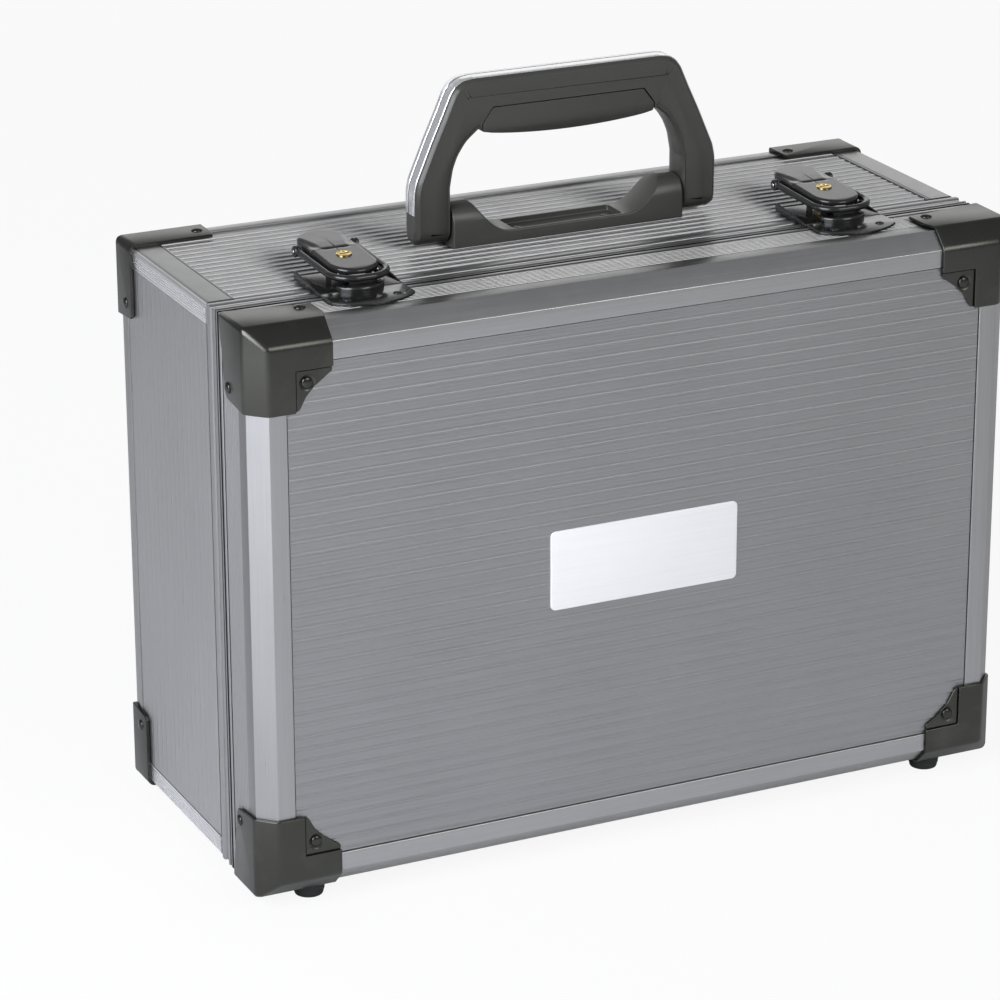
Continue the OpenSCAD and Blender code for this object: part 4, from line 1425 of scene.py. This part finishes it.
@dataclass
class Latch:
    """One lever latch; its own sizes are (x from its middle, y from the lid's face, height)."""

    side: str
    centre: float
    end_r: float = 14.0
    nose: float = 58.5
    tail: float = 98.0
    wire_r: float = 1.85
    bar_y: float = 39.7
    bar_z: float = 9.3
    bail_half: float = 16.5
    bail_r: float = 13.0
    bail_gap: float = 0.45
    eye: Point2 = (94.0, 11.0)
    pivot: Point2 = (51.3, 9.2)
    plug_y: float = 69.0
    plug_r: float = 4.45

    def add(self, kind: str, parts: Sequence[Piece], body: str, slot: str, finish: Finish,
            degrees: float = 40.0) -> None:
        """Joins parts into a piece of the latch, sets it down on the case and dresses it.

        Args:
            kind: The piece's name without its side.
            parts: Its parts in the latch's own frame.
            body: Body that it rides on.
            slot: The record's material slot.
            finish: Its finish.
            degrees: Angle above which its edges stay hard.
        """
        node = f"{kind}_{self.side}"
        shift = Vector((self.centre, FRONT, TOP))
        piece = moved(joined(node + "_look", parts), lambda p: p + shift)
        dress(smooth(piece, degrees), body, [node], slot, finish)

    def catch(self) -> None:
        """The catch on the lid: arched plate, round step with a soft shoulder, hook wall."""
        arch = 33.4
        half = math.degrees(math.asin(24.3 / arch))
        front = arc((0, 19.5 + arch), arch, 270 - half, 270 + half, 24)
        outline = rounded([(24.3, 45.5), (-24.3, 45.5), *front], [1, 1] + [2.0] + [0] * 23 + [2.0], 4)
        plate = slab("plate", outline, Axis.Z, 0.0, 1.2, 0.35, (False, True))
        reach = 15.3
        lean = math.degrees(math.asin(5.7 / reach))
        sweep = arc((0, 54), reach, 180 + lean, 360 - lean, 30)
        step = slab("step", rounded([(11.7, 48.3), (11.7, 44.8), (-11.7, 44.8), (-11.7, 48.3), *sweep],
                                    [0.6, 0.6, 0.6, 0.6, 1.0] + [0] * 29 + [1.0], 3),
                    Axis.Z, 1.75, 5.0, 2.5, (False, True), 7)
        foot = slab("foot", [(13.0, 45.4), (-13.0, 45.4)] + arc((0, 54), reach, 180 + 34, 360 - 34, 24),
                    Axis.Z, 1.0, 3.0, 0.3, (False, False))
        bow = self.bail_r - self.wire_r - self.bail_gap
        off, mid = self.bail_half - self.bail_r, self.bar_y + self.bail_r
        lean = math.degrees(math.acos((8.2 - off) / bow))
        left = arc((-off, mid), bow, 180 + lean, 270, 8)
        right = arc((off, mid), bow, 270, 360 - lean, 8)
        wall = slab("wall", [*left, *right, (8.2, 43.6), (-8.2, 43.6)], Axis.Z, 4.6, 9.4, 0.2, (False, True))
        self.add("catch", [plate, step, foot, wall], "lid", "black_hardware", GLOSS)

    def plate(self) -> None:
        """The plate on the base with its flanges, ears and the lock's keeper."""
        outline = rounded([(-24.5, 46.5), (-12.5, 46.5), (-12.5, 52.6), (12.5, 52.6), (12.5, 46.5),
                           (24.5, 46.5), (24.5, 81), (-24.5, 81)], [0.8, 0.6, 1, 1, 0.6, 0.8, 1.2, 1.2], 4)
        parts = [slab("base", outline, Axis.Z, 0.0, 1.2, 0.3, (False, True))]
        for x in (-24.5, 23.3):
            parts.append(slab("flange", rounded([(49.5, 0.2), (49.5, 1.5), (80, 4.8), (81, 4.0), (81, 0.2)],
                                                [0, 0.6, 0.9, 0.5, 0], 4), Axis.X, x, x + 1.2, 0.35))
        for x in (-7.8, 6.6):
            ear = [(54.5, 0.6), (60, 0.6), *arc(self.pivot, 2.1, 25, 225, 12)]
            parts.append(slab("ear", ear, Axis.X, x, x + 1.2, 0.2))
        parts.append(slab("keeper", [(-9.5, 0.6), (-8.7, 0.6), (-8.7, 5), (-6.6, 5), (-6.6, 6), (-9.5, 6)],
                          Axis.Y, self.plug_y - 3, self.plug_y + 3, 0.15))
        self.add("latch_plate", parts, "base", "black_hardware", GLOSS)

    @staticmethod
    def level(y: float, line: Sequence[Point2]) -> float:
        """Height of a broken line of (y, height) at y."""
        for (a, p), (b, q) in zip(line, line[1:]):
            if y <= b:
                return p + (q - p) * max(0.0, y - a) / (b - a)
        return line[-1][1]

    def plan(self) -> list[Point2]:
        """The lever's outline from above: two round ends and straight sides with extra points."""
        sides = [60, 63, 66, 69, 72, 75, 77.5, 79.2, 79.7, 80.1, 80.5, 81, 82.5, 84, 86, 88, 90, 92.5, 95]
        return [*arc((0, self.nose), self.end_r, 180, 360, 48), *[(self.end_r, y) for y in sides],
                *arc((0, self.tail), self.end_r, 0, 180, 36), *[(-self.end_r, y) for y in reversed(sides)]]

    def face_height(self, x: float, y: float) -> float:
        """Height of the lever's top at a place: a slope, a crease and a raised tab that widens."""
        rise = self.level(y, [(44.0, 12.55), (48.5, 13.0), (80.0, 14.75), (82.0, 15.05), (90.0, 15.5),
                              (112.0, 16.15)])
        crease = -0.45 * math.exp(-((y - 80.1) / 0.55) ** 2) * max(0.0, min(1.0, (8.2 - abs(x)) / 1.5))
        beside = max(0.0, min(1.0, (abs(x) - (8.0 + 0.25 * (y - 84))) / 1.6))
        reach = max(0.0, min(1.0, (y - 80.5) / 6))
        return rise + crease - 0.85 * beside * reach

    def shell(self) -> Piece:
        """The lever's pressed shell: walls that follow the rim line, a rolled edge and the top.

        Returns:
            The shell in the latch's own frame.
        """
        plan = self.plan()
        under = [(44.0, 10.9), (48.0, 11.6), (90.0, 14.0), (112.0, 14.8)]
        rim = [(44.0, 9.9), (48.9, 9.9), (50.2, 6.9), (55.0, 6.2), (90.0, 6.6), (98.6, 8.4), (103.4, 14.3),
               (112.0, 14.65)]

        def ring(depth: float, height: Callable[[float, float], float]) -> list[Point3]:
            """One ring at a depth inside the plan."""
            return [(x, y, height(x, y)) for x, y in inset(plan, depth)]

        def low(add: float) -> Callable[[float, float], float]:
            """Height of the rim line, raised."""
            return lambda x, y: self.level(y, rim) + add

        middle = self.end_r - 0.4
        rings = [*[ring(d, lambda x, y: self.level(y, under)) for d in (middle, 1.3)],
                 ring(1.3, low(0.0)), ring(0.3, low(0.0)), ring(0.0, low(0.1))]
        for turn in range(0, 91, 15):
            a = math.radians(turn)
            drop = 1.5 * (1 - math.sin(a))
            rings.append(ring(1.7 * (1 - math.cos(a)), lambda x, y, drop=drop: self.face_height(x, y) - drop))
        rings += [ring(d, self.face_height) for d in (2.6, 4.0, 5.4, 6.4, 7.4, 9.0, 11.0, middle)]
        return stack("shell", rings)

    def lever(self) -> None:
        """The lever with its lock boss and pin heads, and the bail's pin."""
        y0, r = self.plug_y, self.plug_r + 0.08
        shell = self.shell()
        carved(shell, lathe("hole", [(0, 10.0), (r, 10.0), (r, 18.0), (0, 18.0)], (0, y0, 0), Axis.Z, 36))
        boss = [(r, 5.0), (5.2, 5.0), (5.5, 5.3), (5.5, 13.0), (r, 13.0)]
        parts = [shell, lathe("boss", boss, (0, y0, 0), Axis.Z, 36)]
        head = [(0.0, 13.8), (1.8, 13.8), (2.0, 14.0), (1.9, 14.35), (1.3, 14.45), (1.0, 14.2), (0.0, 14.2)]
        for s in (-1, 1):
            parts.append(lathe("head", [(a, s * b) for a, b in head], (0, 81.0, 12.2), Axis.X, 28))
        self.add("lever", parts, "lever_" + self.side, "black_hardware", GLOSS, 42)
        half = [(1.25, 19.1), (0.95, 19.4), (0, 19.4)]
        pin = lathe("pin", [*[(r, -x) for r, x in reversed(half)], *half], (0, *self.eye), Axis.X, 24)
        self.add("bail_pin", [pin], "lever_" + self.side, "black_hardware", STEEL, 32)

    def bail(self) -> None:
        """The wire bail with a rolled eye of two turns on each arm."""
        bend = self.bail_half - self.bail_r
        mid = self.bar_y + self.bail_r
        back, z = self.eye
        flat = [(-self.bail_half, back - 2.6), *arc((-bend, mid), self.bail_r, 180, 270, 14),
                *arc((bend, mid), self.bail_r, 270, 360, 14), (self.bail_half, back - 2.6)]
        lean = (z - self.bar_z) / (back - self.bar_y)
        wire = tube("wire", [(x, y, z) for x, y in flat], self.wire_r)
        parts = [moved(wire, lambda p: Vector((p.x, p.y, p.z - lean * (back - p.y))))]
        section = 0.98
        for s in (-1, 1):
            for k in (-1, 1):
                x = s * 17.05 + k * 0.93
                ring = [(2.32 + section * math.cos(a), section * math.sin(a))
                        for a in (2 * math.pi * j / 12 for j in range(12))]
                parts.append(lathe("eye", ring, (x, back, z), Axis.X, 28))
        self.add("bail", parts, "bail_" + self.side, "black_hardware", GLOSS, 60)

    def plug(self) -> None:
        """The brass plug: a bevelled ring, a face with a keyway, and the cam below."""
        r = self.plug_r
        face = slab("face", arc((0, self.plug_y), r - 1.0, 0, 350, 35), Axis.Z, 4.4, 14.6, 0.25)
        keyway = rounded(oblong(2.8, 0.75, self.plug_y), 0.3, 3)
        carved(face, slab("slot", keyway, Axis.Z, 9.0, 16.0, 0.1))
        rim = [(r - 1.05, 4.4), (r - 0.2, 4.4), (r, 4.6), (r, 14.4), (r - 0.35, 14.8), (r - 0.8, 14.8),
               (r - 1.05, 14.5)]
        ring = lathe("ring", rim, (0, self.plug_y, 0), Axis.Z, 36)
        end = [(2.5, self.plug_y), *arc((0, self.plug_y + 5.7), 2.5, 0, 180, 12), (-2.5, self.plug_y)]
        cam = slab("cam", [*end, *arc((0, self.plug_y), 3.4, 200, 340, 12)], Axis.Z, 3.2, 4.6, 0.2)
        self.add("lock_plug", [face, ring, cam], "lock_" + self.side, "brass_plug", BRASS)

    def build(self) -> None:
        """Builds the whole latch."""
        self.catch()
        self.plate()
        self.lever()
        self.bail()
        self.plug()


def latch_rivets(centres: Sequence[float]) -> None:
    """Sets the rivets of the catches, latch plates and handle bracket.

    Args:
        centres: X of each latch.
    """
    up = (0, 0, 1)
    catch = [((c + s * 14.5, FRONT + 31, TOP + 1.2), up) for c in centres for s in (-1, 1)]
    hidden = [((c, FRONT + y, TOP + 1.2), up) for c in centres for y in (60, 77)]
    hidden += [((s * 27, FRONT + 105.5, TOP + 3.0), up) for s in (-1, 1)]
    for node, body, places in (("catch_rivets", "lid", catch), ("hardware_rivets", "base", hidden)):
        RivetGroup(node + "_look", body, "black_hardware", [node], places, 2.5, 1.05, GLOSS).build()
    paint("lever_pins", STEEL)


# ---------------------------------------------------------------- handle


@dataclass
class CarryHandle:
    """The handle with its pad and silver strip, and the bracket that carries it."""

    half: float = 93.2
    height: float = 94.0
    thick: float = 21.0
    pivot: float = 12.0
    mid_y: float = 9.5
    front_r: float = 5.0
    rear_r: float = 9.0
    strip_w: float = 14.4

    def outer(self) -> list[Point2]:
        """The outer edge from the right foot over the top to the left foot.

        Returns:
            Points as (x, height over the case).
        """
        h, x = self.height, self.half
        right = [(x - 2.6, self.pivot - self.thick / 2), (x, 5.5), (x, 32), (x - 1.4, 39), (x - 4, 45),
                 (x - 10.4, 60), (x - 17.6, 75.5), (x - 22.2, 86), (x - 25.4, h - 3.6), (x - 30, h - 0.8),
                 (x - 36, h)]
        radii = [0, 3, 20, 20, 20, 40, 40, 12, 8, 8, 12]
        return rounded([(0, -30), *doubled(right)], [0, *radii, *reversed(radii)], 5)[1:]

    def inner(self) -> list[Point2]:
        """The inner edge from the left foot under the grip to the right foot, round the pad."""
        left = [(-71.5, self.pivot - self.thick / 2), (-71.5, 34), (-69.6, 44.5), (-66.8, 51.5),
                (-62, 58.6), (-54.8, 64.5), (-53.0, 64.5), (-52.8, 68.1), (-46.3, 76.9)]
        radii = [0, 12, 20, 20, 20, 1.5, 0, 0.5, 0.8]
        return rounded([*doubled(left), (0, -30)], [*radii, *reversed(radii), 0], 4)[:-1]

    def seat(self, piece: Piece) -> Piece:
        """Moves a piece from the handle's own frame to its place on the case."""
        shift = Vector((0, self.mid_y, TOP))
        return moved(piece, lambda p: p + shift)

    def depth(self, y: float) -> float:
        """How far the rounded outer edge lies below the outer line at y."""
        half = self.thick / 2
        for near, radius in ((-half - y + self.front_r, self.front_r), (y - half + self.rear_r, self.rear_r)):
            if near > 0:
                return radius - math.sqrt(max(0.0, radius ** 2 - near ** 2))
        return 0.0

    def body(self) -> None:
        """The moulded body: a round outer rim, a fold along its front face and round feet."""
        half = self.thick / 2
        outer, inner = self.outer(), self.inner()

        def ring(y: float, out: float, keep: float) -> list[Point3]:
            """The outline at y, drawn in at its outer and its inner edge."""
            legs, grip = (inset(inner, depth, closed=False) for depth in (keep, min(keep, 0.35)))
            inside = [legs[i] if abs(p[0]) > 53.5 or p[1] < 63.8 else grip[i] for i, p in enumerate(inner)]
            return [(a, y, b) for a, b in [*inset(outer, out + 0.28, closed=False), *inside]]

        rings = [ring(-half, 9.5, 3.6), ring(-half + 0.75, 3.7, 2.0)]
        for a in (62, 48, 34, 20, 8, 0):
            t = math.radians(a)
            rings.append(ring(-half + self.front_r * (1 - math.sin(t)), self.front_r * (1 - math.cos(t)),
                              2.2 * (1 - math.cos(t))))
        for a in (0, 12, 24, 36, 48, 60, 72, 82):
            t = math.radians(a)
            rings.append(ring(half - self.rear_r * (1 - math.sin(t)), self.rear_r * (1 - math.cos(t)),
                              2.6 * (1 - math.cos(t))))
        rings.append(ring(half, self.rear_r * 0.93, 2.6))
        piece = stack("handle_body_look", rings)
        reach = self.thick / 2
        sliced(piece, Axis.Z, [self.pivot - reach * k / 8 for k in range(0, 8)])

        def shape(p: Vector) -> Vector:
            """Rounds the feet about the pivot."""
            low = max(0.0, self.pivot - p.z)
            keep = math.sqrt(max(0.0, 1 - min(1.0, low / reach) ** 2))
            return Vector((p.x, p.y * max(keep, 0.12), p.z))

        moved(piece, shape)
        dress(smooth(self.seat(piece), 26), "handle", ["handle_body"], "handle_plastic", HANDLE)

    def pad(self) -> None:
        """The pad under the grip with its sagging, crowned underside."""
        half = self.thick / 2 - 0.15
        under = [(52.5 - 105.0 * k / 18, 63.5 - 4.5 * math.sin(math.pi * k / 18) ** 0.7) for k in range(19)]
        outline = [(-46, 76.6), (-52.5, 68), *[(x, z) for x, z in reversed(under)], (52.5, 68), (46, 76.6)]
        piece = slab("handle_pad_look", rounded(outline, [0.6, 1.0] + [1.0] * 19 + [1.0, 0.6], 3), Axis.Y,
                     -half, half, 0.3, steps=3)

        def crown(p: Vector) -> Vector:
            """Draws the underside in towards its middle line."""
            low = max(0.0, 69.0 - p.z) / 9.0
            return Vector((p.x, p.y * (1 - 0.20 * low ** 2), p.z))

        sliced(piece, Axis.Z, [60.0, 61.5, 63.0, 64.5, 66.0, 68.0, 69.0])
        moved(piece, crown)
        dress(smooth(self.seat(piece), 40), "handle", ["handle_pad"], "pad_plastic", PAD)

    def strip(self) -> None:
        """The silver strip over the outer edge, split by a dark line."""
        line = [p for p in self.outer() if p[1] > 20]
        line = [(self.half, 20.0), *line, (-self.half, 20.0)]
        half, gap = self.strip_w / 2, 0.55
        for name, a, b, drop, finish in (("handle_strip_front", -half, -gap, 0.0, SILVER),
                                         ("handle_strip_rear", gap, half, 0.0, SILVER),
                                         ("handle_strip_line", -gap, gap, 0.35, HANDLE)):
            marks = [(a, 0.95), (a, drop + 0.2), (a + 0.22, drop),
                     *[(a + (b - a) * k / 4, drop) for k in (1, 2, 3)],
                     (b - 0.22, drop), (b, drop + 0.2), (b, 0.95)]
            lines = [inset(line, self.depth(y) + d, closed=False) for y, d in marks]
            rings = [[(row[i][0], marks[k][0], row[i][1]) for k, row in enumerate(lines)]
                     for i in range(len(line))]
            piece = smooth(self.seat(stack(name, rings)), 30)
            dress(piece, "handle", ["handle_inlay"], "silver_inlay", finish)

    def bracket(self) -> None:
        """The bracket: two raised ends, hollow slopes and a low tray."""
        slope = [(57 - 21 * k / 12, 6.3 + 16 * (1 - k / 12) ** 2) for k in range(13)]
        right = [(70.9, -0.4), (70.9, 22), (68.9, 24), (59, 24), *slope]
        radii = [0, 2.0, 1.5, 3.0, *([0] * 12), 3.0]
        outline = rounded(doubled(right), [*radii, *reversed(radii)], 4)
        piece = slab("handle_bracket_look", outline, Axis.Y, -11.5, 11.5, 0.9, steps=4)
        sliced(piece, Axis.Z, [12.5, 14.5, 16.5, 18.5, 20.0, 21.2, 22.2, 23.0, 23.6])

        def arch(p: Vector) -> Vector:
            """Draws the raised ends into a half round."""
            high = max(0.0, min(p.z - 12.5, 11.4)) / 11.5
            return Vector((p.x, p.y * math.sqrt(1 - high ** 2), p.z))

        moved(piece, arch)
        carved(piece, slab("tray", rounded(oblong(34, 9.5), 2.5, 5), Axis.Z, 3.0, 20.0, 0.6))
        dress(smooth(self.seat(piece), 35), "base", ["handle_bracket"], "handle_plastic", HANDLE)

    def build(self) -> None:
        """Builds the handle and its bracket."""
        self.body()
        self.pad()
        self.strip()
        self.bracket()
        paint("handle_pins", STEEL)


# ---------------------------------------------------------------- feet and hinges


@dataclass
class Underside:
    """The rubber feet and the two hinges below the seam."""

    foot_r: float = 10.0

    def foot(self, x: float, y: float, height: float) -> Piece:
        """One turned foot with a stepped flank and a hollow for its screw.

        Args:
            x: Place across the case.
            y: Place front to back.
            height: Height of the foot.

        Returns:
            The foot.
        """
        r, h = self.foot_r, height
        profile = [(0.0, 2.4), (2.6, 2.4), (2.9, 2.2), (3.1, 0.4), (3.5, 0.0), (7.2, 0.0), (7.8, 0.25),
                   (8.05, 0.8), (8.5, 0.35 * h), (8.75, 0.40 * h), (8.6, 0.44 * h), (9.0, 0.70 * h),
                   (9.25, 0.74 * h), (9.1, 0.78 * h), (9.55, h - 1.1), (r - 0.15, h - 0.8), (r, h - 0.5),
                   (r, h), (0.0, h)]
        return lathe("foot", profile, (x, y, 0.0), Axis.Z, 48)

    def build(self) -> None:
        """Builds the feet and paints the hinges."""
        for name, body, x, y, h in (("front_feet", "lid", 196.0, FRONT + 19.5, 8.0),
                                    ("rear_feet", "base", 169.0, REAR - 22, 10.4)):
            pair = joined(name + "_look", [self.foot(s * x, y, h) for s in (-1, 1)])
            dress(smooth(pair, 35), body, [name], "black_rubber", RUBBER)
        for node in ("hinge_leaves_base", "hinge_leaves_lid", "hinge_pins"):
            paint(node, STEEL)


# ---------------------------------------------------------------- stage


@dataclass
class Stage:
    """Camera, lamps, floor and surroundings."""

    eye_m: Point3 = (-0.9665, -1.9503, 0.9854)
    aim_m: Point3 = (-0.0871, -0.0938, 0.2181)
    roll: float = -0.18
    lens: float = 146.6
    world_light: float = 0.34
    floor_reach: float = 9000.0
    floor_z: float = -0.2
    floor_white: float = 0.9

    def camera(self) -> None:
        """Sets the camera at the photographed angle."""
        data = bpy.data.cameras.new("camera")
        data.lens, data.sensor_width = self.lens, 36.0
        data.clip_start, data.clip_end = 0.05, 60.0
        shot = linked("camera", data)
        roll = Matrix.Rotation(math.radians(self.roll), 4, "Z")
        shot.matrix_world = self.facing(self.eye_m, self.aim_m) @ roll
        bpy.context.scene.camera = shot

    @staticmethod
    def facing(place: Point3, aim: Point3) -> Matrix:
        """Placement of a camera or lamp that looks from a place at an aim."""
        turn = (Vector(aim) - Vector(place)).to_track_quat("-Z", "Y").to_matrix().to_4x4()
        return Matrix.Translation(place) @ turn

    def lamp(self, name: str, place: Point3, aim: Point3, size: Point2, watts: float, tint: Point3) -> None:
        """Hangs one soft rectangular lamp.

        Args:
            name: Name of the lamp.
            place: Where it is, in metres.
            aim: What it looks at.
            size: Its width and height in metres.
            watts: Its power.
            tint: Its colour.
        """
        data = bpy.data.lights.new(name, "AREA")
        data.shape, data.size, data.size_y, data.energy = "RECTANGLE", size[0], size[1], watts
        data.color = tint
        linked(name, data).matrix_world = self.facing(place, aim)

    def surroundings(self) -> None:
        """White to the camera, plain grey light elsewhere."""
        world = bpy.data.worlds.new("studio")
        bpy.context.scene.world = world
        world.use_nodes = True
        tree = world.node_tree
        tree.nodes.clear()
        path = tree.nodes.new("ShaderNodeLightPath")
        light, seen = tree.nodes.new("ShaderNodeBackground"), tree.nodes.new("ShaderNodeBackground")
        light.inputs["Color"].default_value = (0.86, 0.87, 0.90, 1)
        light.inputs["Strength"].default_value = self.world_light
        seen.inputs["Color"].default_value = (1, 1, 1, 1)
        seen.inputs["Strength"].default_value = 1.0
        mix, out = tree.nodes.new("ShaderNodeMixShader"), tree.nodes.new("ShaderNodeOutputWorld")
        tree.links.new(path.outputs["Is Camera Ray"], mix.inputs[0])
        tree.links.new(light.outputs[0], mix.inputs[1])
        tree.links.new(seen.outputs[0], mix.inputs[2])
        tree.links.new(mix.outputs[0], out.inputs["Surface"])

    def floor(self) -> None:
        """A wide pale floor that keeps the soft shadow under the case."""
        g = Graph("floor_pale")
        path = g.node("ShaderNodeLightPath", {}, {}, "Is Camera Ray")
        matt = g.node("ShaderNodeBsdfDiffuse", {}, {"Color": (0.86, 0.86, 0.865, 1)})
        glow = g.node("ShaderNodeEmission", {}, {"Color": (1, 1, 1, 1), "Strength": 1.0})
        g.node_output(g.node("ShaderNodeMixShader", {}, {0: path * self.floor_white, 1: matt, 2: glow}))
        reach = self.floor_reach
        corners = [(x, y, self.floor_z) for x, y in oblong(reach, reach)]
        piece = mesh_object("floor", corners, [(0, 1, 2, 3)])
        piece.data.materials.append(g.material)
        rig.stage(piece)

    def build(self) -> None:
        """Builds the stage."""
        bpy.context.scene.view_settings.view_transform = "Standard"
        self.camera()
        self.surroundings()
        self.floor()
        middle = (0.0, 0.0, 0.2)
        cool, plain = (0.95, 0.975, 1.05), (1.0, 1.0, 0.98)
        self.lamp("soft_left", (-1.55, -0.75, 0.95), (-0.35, -0.2, 0.0), (1.2, 1.2), 36, cool)
        self.lamp("soft_back", (1.0, 3.2, 1.25), (0.0, 0.0, 0.3), (4.5, 1.5), 20, plain)
        self.lamp("soft_front", (1.2, -3.0, 2.2), middle, (2.0, 1.6), 34, plain)


def main() -> None:
    """Builds every part of the case in order and writes both boxes."""
    logging.basicConfig(level=logging.INFO, format="%(name)s: %(message)s")
    Stage().build()
    BaseShell().build()
    LidShell().build()
    CornerGuards().build()
    centres = {"left": -147.5, "right": 147.5}
    for side, centre in centres.items():
        Latch(side, centre).build()
    latch_rivets(list(centres.values()))
    CarryHandle().build()
    Underside().build()
    boxes = {"cad": CAD_BOX, "visual": [list(corner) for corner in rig.bounds()]}
    with open("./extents.json", "w") as out:
        json.dump(boxes, out)


if __name__ == "__main__":
    main()
